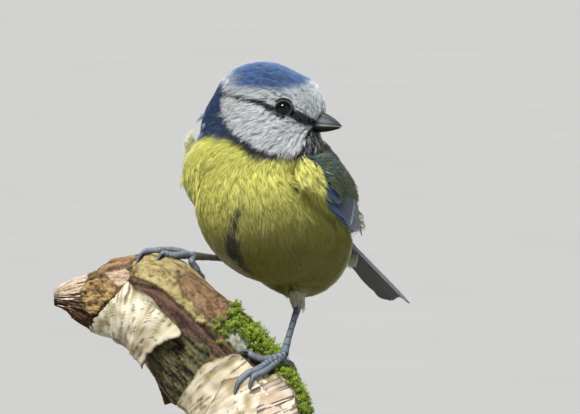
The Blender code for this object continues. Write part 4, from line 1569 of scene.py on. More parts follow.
@dataclass(frozen=True)
class Tuft:
    """A few loose feathers that stand off the coat, as the photo shows them.

    The place is (to the right, up) in the picture, in millimetres of the row frame, and the
    spread is how far the roots lie around it to each side.
    """

    place: tuple
    spread: tuple
    heading: tuple
    length: float
    count: int
    tone: Tone
    fan: float
    kind: FeatherKind = FeatherKind(barbs=24, barb_width=0.15, spread=0.2, loft=0.8, ruffle=0.2)

    def build(self, plumage: Plumage) -> Build:
        """Grows the tuft.

        Args:
            plumage: What grows them.

        Returns:
            The feathers' barbs.
        """
        draw = plumage.draw
        spots = np.array(self.place) + draw.normal(0, 0.5, (self.count, 2)) * np.array(self.spread)
        roots, normals = in_picture(plumage.surface, spots)
        normals = unit(normals + np.array((0.0, -0.6, 0.0)))
        heading = unit(unit(np.array(self.heading, float)) + draw.normal(0, self.fan, (self.count, 3)))
        length = self.length * draw.uniform(0.7, 1.1, self.count)
        return plumage.grow(roots, normals, self.kind, length, heading, self.tone.anywhere, loose=True)


TUFTS = (
    # The pale shoulder, the nape's loose feathers and the vent's pale ones.
    Tuft((-18.9, 88.2), (1.0, 3.0), (-0.04, 0.1, 1.0), 4.6, 20, Tone("#a5a56a", "#e9e9b6"), fan=0.1),
    Tuft((-13.0, 101.0), (1.4, 6.0), (-0.4, 0.15, -0.9), 4.0, 40, Tone("#2d4068", "#8fa6c0"), fan=0.12),
    Tuft((-15.6, 95.2), (1.6, 1.6), (-0.5, 0.15, -0.75), 3.6, 22, Tone("#5d7392", "#bccbd2"), fan=0.14),
    Tuft((22.6, 63.2), (1.4, 1.0), (-0.2, -0.1, -1.0), 3.0, 16, Tone("#a5a266", "#e3e1b4"), fan=0.2),
)


@dataclass(frozen=True)
class Sock:
    """The pale feathers that end in a cuff round a shank."""

    hip: tuple
    ankle: tuple
    radii: tuple = (2.9, 1.5)
    rows: tuple = (-0.2, 0.05, 0.3, 0.55, 0.75)
    around: int = 10
    length: float = 3.6
    kind: FeatherKind = FeatherKind(barbs=20, barb_width=0.15, spread=0.24, loft=0.5, ruffle=0.25)

    def build(self, plumage: Plumage) -> Build:
        """Grows rings of feathers down the thigh.

        Args:
            plumage: What grows them.

        Returns:
            The feathers' barbs.
        """
        hip, run = np.array(self.hip), np.array(self.ankle) - np.array(self.hip)
        down = unit(run)
        first = unit(np.cross(down, (0.0, 1.0, 0.0)))
        turn = full_turn(self.around)
        roots, ways, outs = [], [], []
        for index, share in enumerate(self.rows):
            angle = (turn + index * 0.3)[:, None]
            out = first * np.cos(angle) + np.cross(down, first) * np.sin(angle)
            radius = mix(self.radii[0], self.radii[1], share)
            roots.append(hip + run * share + out * radius * 0.85)
            ways.append(unit(down - out * 0.28))
            outs.append(out)
        roots, ways, outs = np.concatenate(roots), np.concatenate(ways), np.concatenate(outs)
        length = np.full(len(roots), self.length)
        return plumage.grow(roots, outs, self.kind, length, ways, MARKINGS.thigh.anywhere, loose=True)


def covers_eye(points: Array) -> Array:
    """Whether each place lies over an eye's open part."""
    return off_eye_axis(points) < Coat.eye_opening


# Flight feathers.


def closed_sheet(top: Array, bottom: Array) -> Build:
    """A thin closed body between two grids of points, given as rows, columns and places.

    Args:
        top: The upper grid's points.
        bottom: The lower grid's points.

    Returns:
        The closed body, its faces outwards.
    """
    rows, columns = top.shape[:2]
    count = rows * columns
    rim = [np.arange(columns), np.arange(1, rows) * columns + columns - 1]
    rim += [(rows - 1) * columns + np.arange(columns - 2, -1, -1), np.arange(rows - 2, 0, -1) * columns]
    rim = np.concatenate(rim)
    after = np.roll(rim, -1)
    sides = np.concatenate((
        np.stack((rim, rim + count, after), -1),
        np.stack((after, rim + count, after + count), -1),
    ))
    over = grid_faces(rows, columns)
    faces = np.concatenate((over, over[:, ::-1] + count, sides))
    points = np.concatenate((top.reshape(-1, 3), bottom.reshape(-1, 3)))
    corners = points[faces]
    volume = np.einsum("ij,ij->i", corners[:, 0], np.cross(corners[:, 1], corners[:, 2])).sum()
    return Build(points, faces[:, ::-1] if volume < 0 else faces)


@dataclass(frozen=True)
class VaneLook:
    """The colours of one kind of flight feather, as sRGB hex values."""

    inner: str
    outer: str
    rim: str
    tip: str
    tip_share: float = 0.04
    rim_share: float = 0.2
    shaft: str = "#15171a"
    under: str = "#6a655c"

    def colours(self, along: Array, aside: Array, beneath: bool, shade: float) -> Array:
        """Linear colours over a vane.

        Args:
            along: Places from the root, 0, to the tip, 1.
            aside: Places from the outer web's edge, -1, to the inner web's, 1.
            beneath: Whether this is the vane's lower face.
            shade: How light this feather is beside its neighbours.

        Returns:
            A colour for each place.
        """
        inner, outer, rim, tip, shaft, under = (
            to_linear(code) for code in (self.inner, self.outer, self.rim, self.tip, self.shaft, self.under)
        )
        if beneath:
            colour = mix(under, under * 0.75, ramp(0.0, 1.0, np.abs(aside))[..., None])
            return colour * shade
        colour = mix(outer, inner, ramp(-0.15, 0.1, aside)[..., None])
        edge_share = ramp(1 - self.rim_share * 1.4, 1 - self.rim_share * 0.5, -aside)
        colour = mix(colour, rim, edge_share[..., None])
        tip_start = 1 - self.tip_share * (1.0 + 0.25 * np.cos(aside * 5.0))
        colour = mix(colour, tip, ramp(tip_start - 0.02, tip_start + 0.015, along)[..., None])
        return mix(colour, shaft, (ramp(0.1, 0.04, np.abs(aside)) * ramp(1.0, 0.8, along))[..., None]) * shade


@dataclass(frozen=True)
class Vane:
    """One flight feather or covert: two webs of barbs on a raised shaft."""

    half_width: float
    look: VaneLook
    outline: tuple = (
        (0, 0.35), (0.08, 0.6), (0.25, 0.9), (0.5, 1.0), (0.78, 0.96), (0.9, 0.8), (0.965, 0.55), (1.0, 0.12),
    )
    outer_web: float = 0.8  # the outer web's width as a share of the inner one's
    rows: int = 26
    columns: int = 11
    thickness: float = 0.16
    sag: float = 0.3
    shaft_height: float = 0.13
    notches: int = 2

    def build(self, spine: Array, outward: Array, inner_way: Array, draw: np.random.Generator) -> Build:
        """Makes the feather.

        Args:
            spine: The shaft's points, one for each row, from the root to the tip.
            outward: The way out of the upper face at each.
            inner_way: The rough way towards the inner web.
            draw: The random numbers.

        Returns:
            The closed vane, with its colours.
        """
        along = np.linspace(0, 1, self.rows)
        aside = np.linspace(-1, 1, self.columns)
        stops = np.array(self.outline)
        wide = np.interp(along, stops[:, 0], stops[:, 1]) * self.half_width
        ahead = unit(np.gradient(spine, axis=0))
        across = unit(np.cross(outward, ahead))
        across *= np.sign(np.sum(across * inner_way, axis=1, keepdims=True))
        width = np.where(aside < 0, self.outer_web, 1.0)[None] * wide[:, None] * aside[None]
        fray = 1 + 0.05 * draw.normal(size=(self.rows, 2))
        for _ in range(self.notches):
            fray[draw.integers(self.rows // 3, self.rows - 2), draw.integers(0, 2)] -= draw.uniform(0.1, 0.3)
        width = width * np.where(aside < 0, fray[:, :1], fray[:, 1:])
        run = np.linalg.norm(spine[-1] - spine[0]) / self.rows
        swept = spine[:, None] + across[:, None] * width[..., None]
        point = (along > 0.9)[:, None, None]
        swept = swept + ahead[:, None] * (0.6 * run * (1 - np.abs(aside)))[None, :, None] * point
        height = -self.sag * self.half_width * 0.4 * aside**2
        ridge = self.shaft_height * (np.abs(aside) < 0.01) * (1 - 0.7 * along[:, None])
        top = swept + outward[:, None] * (height + ridge)[..., None]
        thin = self.thickness * (1 - 0.65 * np.abs(aside))[None] * (1 - 0.3 * along[:, None])
        made = closed_sheet(top, top - outward[:, None] * (thin + ridge)[..., None])
        shade = draw.uniform(0.85, 1.15)
        grid_along, grid_aside = np.meshgrid(along, aside, indexing="ij")
        faces = [self.look.colours(grid_along, grid_aside, beneath, shade) for beneath in (False, True)]
        made.tint = np.concatenate([face.reshape(-1, 3) for face in faces])
        slant = grid_along * run * self.rows - np.abs(width) * 1.1
        barbs = np.stack((width, slant + draw.uniform(0, 5)), -1).reshape(-1, 2)
        made.barb_map = np.concatenate((barbs, barbs))
        return made


@dataclass(frozen=True)
class Tier:
    """A tier of feathers on a folded wing.

    Tips are places along the wing's sheet, spread over the tier's feathers. The other pairs are
    for the lowest feather and the highest: places along and across the sheet, and millimetres.
    """

    count: int
    tips: tuple
    root_along: tuple
    root_across: tuple
    tip_across: tuple
    half_width: tuple
    lift: tuple
    look: VaneLook


@dataclass(frozen=True)
class Wing:
    """A folded wing: a thin arm and hand under tiers of overlapping feathers."""

    side: Side
    stations: tuple = (
        ((15.0, 17.2, -1.0), (16.5, 15.2, 4.0), (15.5, 10.0, 10.4)),
        ((7.0, 19.6, -2.0), (7.0, 17.9, 5.8), (6.0, 10.6, 13.6)),
        ((-6.0, 18.2, -1.5), (-6.0, 15.6, 7.0), (-6.0, 6.8, 14.4)),
        ((-18.0, 13.8, 2.5), (-18.0, 11.2, 9.0), (-17.5, 5.0, 13.2)),
        ((-29.0, 8.4, 6.4), (-29.0, 6.8, 9.6), (-28.5, 3.4, 11.8)),
        ((-38.0, 4.4, 7.8), (-38.8, 3.5, 8.6), (-38.0, 2.4, 9.4)),
    )
    right_moves: tuple = ((1.0, 2.8), (1.0, 2.8), (1.0, 2.4), (0.8, 1.4), (0.4, 0.4), (0.0, 0.0))
    root_depth: float = 0.7
    core_end: float = 0.8
    tiers: tuple = (
        # The flight feathers of the hand, then those of the arm, and the innermost three.
        Tier(
            7, (0.92, 0.97, 0.99, 1.0, 0.975, 0.94, 0.88), (0.28, 0.36), (-0.12, 0.46), (0.04, 0.72),
            (1.4, 1.5), (0.0, 0.4), VaneLook("#1f2124", "#2b2f33", "#8b8f88", "#5f6468", 0.02, 0.22),
        ),
        Tier(
            6, (0.82, 0.79, 0.76, 0.74, 0.72, 0.7), (0.34, 0.36), (0.46, 0.76), (0.52, 0.78),
            (1.5, 1.8), (0.5, 0.85), VaneLook("#1d2227", "#25405f", "#5f7c91", "#8f9ba1", 0.03, 0.2),
        ),
        Tier(
            3, (0.66, 0.59, 0.52), (0.36, 0.36), (0.76, 0.88), (0.76, 0.86),
            (1.9, 2.0), (0.9, 1.1), VaneLook("#2f3a42", "#3c586e", "#8fa3a8", "#e6eae6", 0.06, 0.16),
        ),
        # The coverts of the hand, the white-tipped great coverts and the middle ones.
        Tier(
            6, (0.48, 0.51, 0.53, 0.55, 0.56, 0.56), (0.2, 0.26), (-0.14, 0.3), (-0.12, 0.36),
            (1.3, 1.4), (0.45, 0.6), VaneLook("#1b2733", "#27436b", "#4a6c8c", "#66798a", 0.03),
        ),
        Tier(
            10, (0.39, 0.4, 0.41, 0.42, 0.43, 0.44, 0.445, 0.445, 0.44, 0.43), (0.16, 0.18),
            (-0.04, 0.88), (-0.08, 0.88),
            (1.9, 2.1), (0.75, 1.35), VaneLook("#182a42", "#25466f", "#426a94", "#cdd4d4", 0.09),
        ),
        Tier(
            8, (0.25, 0.255, 0.26, 0.265, 0.265, 0.26, 0.255, 0.245), (0.07, 0.08),
            (0.14, 0.86), (0.12, 0.86),
            (1.9, 2.1), (0.95, 1.45), VaneLook("#1b3052", "#294d7b", "#426d9d", "#5f85a8", 0.06),
        ),
    )
    covert_kind: FeatherKind = FeatherKind(barbs=18, barb_width=0.2, spread=0.26, loft=0.9, ruffle=0.16)
    covert_tone: Tone = Tone("#1b2832", "#3f5f70")
    scapular_kind: FeatherKind = FeatherKind(barbs=20, barb_width=0.19, spread=0.24, loft=0.9, ruffle=0.12)
    scapular_length: float = 6.4
    # Rows of soft feathers: the place along the wing, and the place across it where each row starts.
    scapular_rows: tuple = (
        (0.01, 0.5), (0.05, 0.4), (0.09, 0.3), (0.13, 0.24), (0.17, 0.2), (0.21, 0.22), (0.25, 0.28),
        (0.29, 0.32), (0.33, 0.36), (0.37, 0.4), (0.41, 0.44), (0.45, 0.5),
    )

    def sheet(self, along: Array, across: Array, lift: Array) -> tuple[Array, Array]:
        """Places off the wing's sheet.

        Args:
            along: From the shoulder, 0, to the wing's tip, 1.
            across: From the lower edge, 0, to the upper edge, 1.
            lift: Height off the sheet, in millimetres.

        Returns:
            Places in the row frame, and the way out of the sheet at each.
        """
        stations = np.array(self.stations)
        if self.side is Side.RIGHT:
            stations = stations + np.array([(0.0, *move) for move in self.right_moves])[:, None]

        def place(u: Array, v: Array) -> Array:
            """Places on the sheet, which runs straight on below its lower edge.

            Args:
                u: Places along it.
                v: Places across it.

            Returns:
                Places in the body's frame.
            """
            rows = np.stack([through(stations[:, column], np.clip(u, 0, 1) * 5) for column in range(3)])
            slope = (through(rows, 0.04 + 0 * v) - through(rows, 0.0 * v)) * 50.0
            return through(rows, np.clip(v, 0, 1) * 2) + slope * np.minimum(v, 0.0)[:, None]

        step = 0.02
        run = place(along + step, across) - place(along - step, across)
        rise = place(along, across + step) - place(along, across - step)
        outward = unit(np.cross(run, rise))
        outward *= np.sign(outward[:, 1:2])
        point = place(along, across) + outward * np.asarray(lift).reshape(-1, 1)
        return BODY.out(self.side.of(point)), BODY.turn_out(self.side.of(outward))

    def core(self) -> Build:
        """The wing's arm and hand: the sheet, thickened inwards.

        Returns:
            The closed core.
        """
        rows, columns = 24, 12
        places = np.meshgrid(np.linspace(0.0, self.core_end, rows), np.linspace(0, 1, columns), indexing="ij")
        along, across = (place.ravel() for place in places)
        sink = np.interp(along, (0.0, 0.4), (0.1, 0.7))
        thick = 2.2 * (1 - 0.7 * along**2)
        top, outward = self.sheet(along, across, -sink)
        shape = (rows, columns, 3)
        made = closed_sheet(top.reshape(shape), (top - outward * thick[:, None]).reshape(shape))
        shade = 0.6 + 0.3 * noise(made.points, 1.2, 30)
        made.tint = to_linear("#2b3846")[None] * shade[:, None]
        made.barb_map = made.points[:, :2] * 0.5
        return made

    def feathers(self, draw: np.random.Generator) -> Build:
        """Every vane of every tier.

        Args:
            draw: The random numbers.

        Returns:
            All the vanes.
        """
        vanes = []
        for tier in self.tiers:
            tips = np.interp(np.linspace(0, 1, tier.count), np.linspace(0, 1, len(tier.tips)), tier.tips)
            for index, tip in enumerate(tips):
                share = index / (tier.count - 1)

                def between(pair: tuple[float, float]) -> float:
                    """This feather's own value."""
                    return pair[0] + (pair[1] - pair[0]) * share

                vane = Vane(between(tier.half_width), tier.look)
                length = np.linspace(0, 1, vane.rows)
                along = mix(between(tier.root_along), tip, length)
                across = mix(between(tier.root_across), between(tier.tip_across), length)
                height = mix(-self.root_depth, between(tier.lift), np.minimum(length / 0.5, 1.0))
                spine, outward = self.sheet(along, across, height)
                above, _ = self.sheet(along, across + 0.05, height)
                vanes.append(vane.build(spine, outward, above - spine, draw))
        return Build.joined(vanes)

    def soft_feathers(
        self,
        plumage: Plumage,
        at: tuple[Array, Array],
        lift: float,
        slant: float,
        length: Array,
        kind: FeatherKind,
        tone: Tone,
    ) -> Build:
        """Soft feathers that lie on the vanes and point along the wing.

        Args:
            plumage: What grows them.
            at: Places along and across the sheet.
            lift: How far off the sheet they start.
            slant: How far across each points over the same stretch of the wing.
            length: Each feather's length.
            kind: The kind of feather.
            tone: Its colours.

        Returns:
            The feathers' barbs.
        """
        along, across = at
        height = np.full(len(along), lift)
        roots, outward = self.sheet(along, across, height)
        further, _ = self.sheet(along + 0.05, across + slant, height)
        return plumage.grow(roots, outward, kind, length, unit(further - roots), tone.anywhere, follow=0.0)

    def lesser_coverts(self, plumage: Plumage) -> Build:
        """The small, soft blue feathers over the bend of the wing.

        Args:
            plumage: What grows them.

        Returns:
            Their barbs.
        """
        rows = []
        for along in (0.02, 0.055, 0.09, 0.125, 0.16):
            across = np.linspace(0.35, 0.75, 7)
            strays = (plumage.draw.uniform(-0.01, 0.01, 7), plumage.draw.uniform(-0.02, 0.02, 7))
            rows.append(np.stack((along + strays[0], across + strays[1])))
        along, across = np.concatenate(rows, axis=1)
        length = np.interp(along, (0.0, 0.16), (3.0, 4.6))
        at = (along, across)
        return self.soft_feathers(plumage, at, 0.4, 0.0, length, self.covert_kind, self.covert_tone)

    def shelter(self) -> tuple[Array, Array]:
        """The whole sheet as points and triangles: no feather of the trunk grows beneath it.

        Returns:
            Its points and its triangles.
        """
        rows, columns = 30, 12
        places = np.meshgrid(np.linspace(0.02, 0.97, rows), np.linspace(0.04, 1, columns), indexing="ij")
        points, _ = self.sheet(*(place.ravel() for place in places), np.full(rows * columns, 0.3))
        return points, grid_faces(rows, columns)

    def scapulars(self, plumage: Plumage) -> Build:
        """The green feathers of the shoulder, which lie over the wing's upper part.

        Args:
            plumage: What grows them.

        Returns:
            Their barbs.
        """
        along, across = [], []
        for place, bound in self.scapular_rows:
            count = max(3, round((1.0 - bound) * 15))
            across.append(np.linspace(bound, 1.0, count) + plumage.draw.uniform(-0.02, 0.02, count))
            along.append(place + plumage.draw.uniform(-0.012, 0.012, count))
        at = (np.concatenate(along), np.concatenate(across))
        length = np.full(len(at[0]), self.scapular_length)
        return self.soft_feathers(plumage, at, 0.3, -0.006, length, self.scapular_kind, MARKINGS.mantle)

    def build(self, plumage: Plumage) -> None:
        """Makes the wing's vanes one piece, and each kind of soft feather on them another.

        Args:
            plumage: What grows the soft feathers, over the solids of the wings.
        """
        name = "wing_" + self.side.label
        flight = Build.joined([self.core(), self.feathers(plumage.draw)])
        flight.piece(name + "_feathers", VaneKeratin(), "wing_feathers", (name,))
        self.lesser_coverts(plumage).piece(name + "_lesser_coverts", DownyKeratin(), "wing_feathers")
        self.scapulars(plumage).piece("coat_scapulars_" + self.side.label, DownyKeratin(), "body_plumage")


@dataclass(frozen=True)
class Tail:
    """The closed tail: twelve stepped feathers on a narrow root."""

    root: tuple = (-21.7, 0.3, 6.6)
    turn: float = 1.0
    drop: float = 1.8
    roll: float = 5.0
    length: float = 52.0
    gather: float = 0.72
    covert_length: float = 6.6
    covert_count: int = 56
    covert_kind: FeatherKind = FeatherKind(barbs=24, barb_width=0.17, spread=0.2, loft=0.8, ruffle=0.18)
    outline: tuple = (
        (0, 0.35), (0.08, 0.6), (0.25, 0.85), (0.6, 0.95), (0.85, 1.0), (0.94, 0.92), (0.98, 0.7), (1.0, 0.3),
    )
    # Each side's vanes from the middle: the way aside, the share of the tail's length and the height.
    vanes: tuple = (
        (0.5, 0.965, 0.8), (1.05, 0.97, 0.6), (1.6, 0.975, 0.35), (2.15, 0.98, 0.1), (2.7, 0.975, -0.15),
        (3.2, 0.955, -0.42),
    )
    tilts: tuple = (8.0, 14.0, 20.0, 27.0, 36.0, 50.0)  # how steeply each side's vanes hang, from the middle
    middle_look: VaneLook = VaneLook("#3c6288", "#41709b", "#6d93b0", "#4a6f8d", 0.01, 0.15, under="#4c473e")
    look: VaneLook = VaneLook("#30414f", "#3a5f80", "#6d8799", "#586f80", 0.01, 0.15, under="#464037")
    edge_look: VaneLook = VaneLook("#33444f", "#456276", "#8fa0a8", "#6f7d85", 0.01, 0.25, under="#4b4a46")

    def frame_axes(self) -> tuple[Array, Array]:
        """The root's place, and the axes back along the tail, to the bird's right and up.

        Returns:
            The place, and three unit vectors.
        """
        angles = [math.radians(value) for value in (180 + self.turn, self.drop, self.roll)]
        (turn_c, drop_c, roll_c), (turn_s, drop_s, roll_s) = (
            [function(angle) for angle in angles] for function in (math.cos, math.sin)
        )
        about_z = np.array(((turn_c, -turn_s, 0), (turn_s, turn_c, 0), (0, 0, 1)))
        about_y = np.array(((drop_c, 0, drop_s), (0, 1, 0), (-drop_s, 0, drop_c)))
        about_x = np.array(((1, 0, 0), (0, roll_c, -roll_s), (0, roll_s, roll_c)))
        local = about_z @ about_y @ about_x
        return BODY.out(np.array(self.root)), BODY.turn_out(local.T)

    def coverts(self, plumage: Plumage, beneath: bool) -> Build:
        """The soft feathers over the tail's root, or the pale ones beneath it.

        Args:
            plumage: What grows them.
            beneath: Whether they are the lower ones.

        Returns:
            Their barbs.
        """
        root, axes = self.frame_axes()
        draw = plumage.draw
        side = -1.0 if beneath else 1.0
        back = draw.uniform(0.0, 8.0, self.covert_count)
        aside = draw.uniform(-1.0, 1.0, self.covert_count)
        height = side * (1.0 + 1.1 * np.sqrt(1.05 - aside**2) * (1 - back / 30))
        roots = root + np.stack((back, aside * 3.0, height), -1) @ axes
        outs = unit(np.stack((0 * back, aside * 0.8, side + 0 * back), -1)) @ axes
        ways = unit(np.stack((1.0 + 0 * back, aside * 0.06, -side * 0.1 + 0 * back), -1)) @ axes
        tone = MARKINGS.undertail if beneath else MARKINGS.rump
        length = np.full(self.covert_count, self.covert_length)
        return plumage.grow(roots, outs, self.covert_kind, length, ways, tone.anywhere, loose=True)

    def core(self) -> Build:
        """The closed body beneath the feathers' roots, which keeps light out between them.

        Returns:
            The closed body.
        """
        root, axes = self.frame_axes()
        share, aside = np.meshgrid(np.linspace(0, 1, 8), np.linspace(-1, 1, 9), indexing="ij")
        wide = mix(2.6, 2.9, share)
        bulge = 1.1 * (1 - 0.4 * share) * np.sqrt(1.05 - aside**2)
        flat = np.stack((share * 0.4 * self.length, aside * wide * (1 - 0.3 * share), bulge), -1)
        core = closed_sheet(root + flat @ axes, root + (flat * np.array((1, 1, -1))) @ axes)
        core.tint = to_linear("#4b5358")[None] * (0.7 + 0.4 * noise(core.points, 1.0, 31))[:, None]
        core.barb_map = core.points[:, :2] * 0.5
        return core

    def feather(self, index: int, way: int, draw: np.random.Generator) -> Build:
        """One of the twelve feathers.

        Args:
            index: Its place from the middle, from 0 to 5.
            way: 1 to the bird's right and -1 to its left.
            draw: The random numbers.

        Returns:
            Its vane and shaft.
        """
        root, axes = self.frame_axes()
        offset, reach, height = self.vanes[index]
        look = (self.middle_look, self.look, self.look, self.look, self.look, self.edge_look)[index]
        vane = Vane(1.65, look, outer_web=0.75, rows=34, sag=0.2, outline=self.outline)
        along = np.linspace(0, 1, vane.rows)
        bow = 0.5 * np.sin(along * math.pi) * draw.uniform(0.5, 1.0)
        aside = way * offset * mix(self.gather, 1.0, along)
        local = np.stack((along * reach * self.length, aside, height - 0.06 * (way < 0) - bow * 0.3), -1)
        spine = root + local @ axes
        tilt = math.radians(self.tilts[index])
        up = np.broadcast_to(math.cos(tilt) * axes[2] + math.sin(tilt) * way * axes[1], spine.shape)
        return vane.build(spine, up, np.broadcast_to(-way * axes[1], spine.shape), draw)

    def build(self, plumage: Plumage) -> None:
        """Makes the tail's feathers and its root one piece, and its coverts two more.

        Args:
            plumage: What grows the coverts.
        """
        self.coverts(plumage, True).piece("coat_undertail_coverts", DownyKeratin(), "body_plumage")
        self.coverts(plumage, False).piece("coat_tail_coverts", DownyKeratin(), "body_plumage")
        places = itertools.product((-1, 1), range(len(self.vanes)))
        vanes = [self.feather(index, way, plumage.draw) for way, index in places]
        Build.joined([self.core(), *vanes]).piece("tail_feathers", VaneKeratin(), "tail_feathers", ("tail",))


# Eyes and bill.


@dataclass(frozen=True)
class Eye:
    """An eye as deep as the real one, in a ring of beaded lids."""

    side: Side
    radius: float = EYE_RADIUS
    cornea_rise: float = 0.12
    lid_rise: float = 1.22
    lid_radius: float = 1.86
    lid_thickness: float = 0.2
    beads: int = 30

    def axes(self) -> tuple[Array, Array]:
        """The eye's middle, and two ways across it and the way out of it.

        Returns:
            The middle, and three unit vectors.
        """
        outward = HEAD.turn_out(self.side.of(unit(EYE_OUTWARD)))
        across = unit(np.cross((0, 0, 1), outward))
        return HEAD.out(self.side.of(EYE_PLACE)), np.array((across, np.cross(outward, across), outward))

    def ball(self) -> Build:
        """The eyeball, with a cornea that stands out a little over its iris.

        Returns:
            The ball, with its colours.
        """
        middle, axes = self.axes()
        rows, sides = 40, 48
        tilt = np.linspace(0.0005, math.pi - 0.0005, rows)[:, None]
        turn = full_turn(sides)[None]
        tilt, turn = np.broadcast_arrays(tilt, turn)
        reach = self.radius + self.cornea_rise * ramp(0.75, 0.2, tilt)
        local = np.stack((np.sin(tilt) * np.cos(turn), np.sin(tilt) * np.sin(turn), np.cos(tilt)), -1)
        points = (local * reach[..., None]).reshape(-1, 3)
        made = Build(middle + points @ axes, grid_faces(rows, sides, closed=True))
        iris, pupil = to_linear("#070504"), to_linear("#020202")
        spots = np.stack((np.cos(turn) * 9, np.sin(turn) * 9, tilt * 2), -1).reshape(-1, 3)
        streaks = 0.75 + 0.5 * noise(spots, 1.0, 4)
        share = ramp(0.5, 0.56, tilt).reshape(-1, 1)
        made.tint = mix(pupil, iris * streaks[:, None], share)
        return made

    def lids(self) -> Build:
        """The rim of bare lid round the eye, a little longer than high, with a pale row of beads.

        Returns:
            The ring, with its colours.
        """
        middle, axes = self.axes()
        rows, sides = 120, 14
        turn = full_turn(rows)[:, None]
        tilt = full_turn(sides)[None]
        bead = 0.05 * np.cos(turn * self.beads) * ramp(-0.2, 0.6, np.cos(tilt - 0.6))
        thick = self.lid_thickness + bead
        reach = self.lid_radius + thick * np.cos(tilt)
        height = self.lid_rise + thick * np.sin(tilt)
        oval = np.stack((np.cos(turn) * reach * 1.04, np.sin(turn) * reach * 0.96, height), -1)
        faces = grid_faces(rows + 1, sides, closed=True) % (rows * sides)
        made = Build(middle + oval.reshape(-1, 3) @ axes, faces)
        dark, pale = to_linear("#0a0b0d"), to_linear("#484b4d")
        outer = ramp(0.35, 0.95, np.cos(tilt - 0.5)) * ramp(-0.6, 0.5, np.cos(turn * self.beads) + 0.3)
        made.tint = mix(dark, pale, outer.reshape(-1, 1) * 0.75)
        return made

    def build(self) -> None:
        """Makes the eyeball and the lids."""
        self.ball().piece("eyeball_" + self.side.label, WetEye(), "eye", ("eye_" + self.side.label,))
        self.lids().piece("lids_" + self.side.label, BareLid(), "head_plumage")


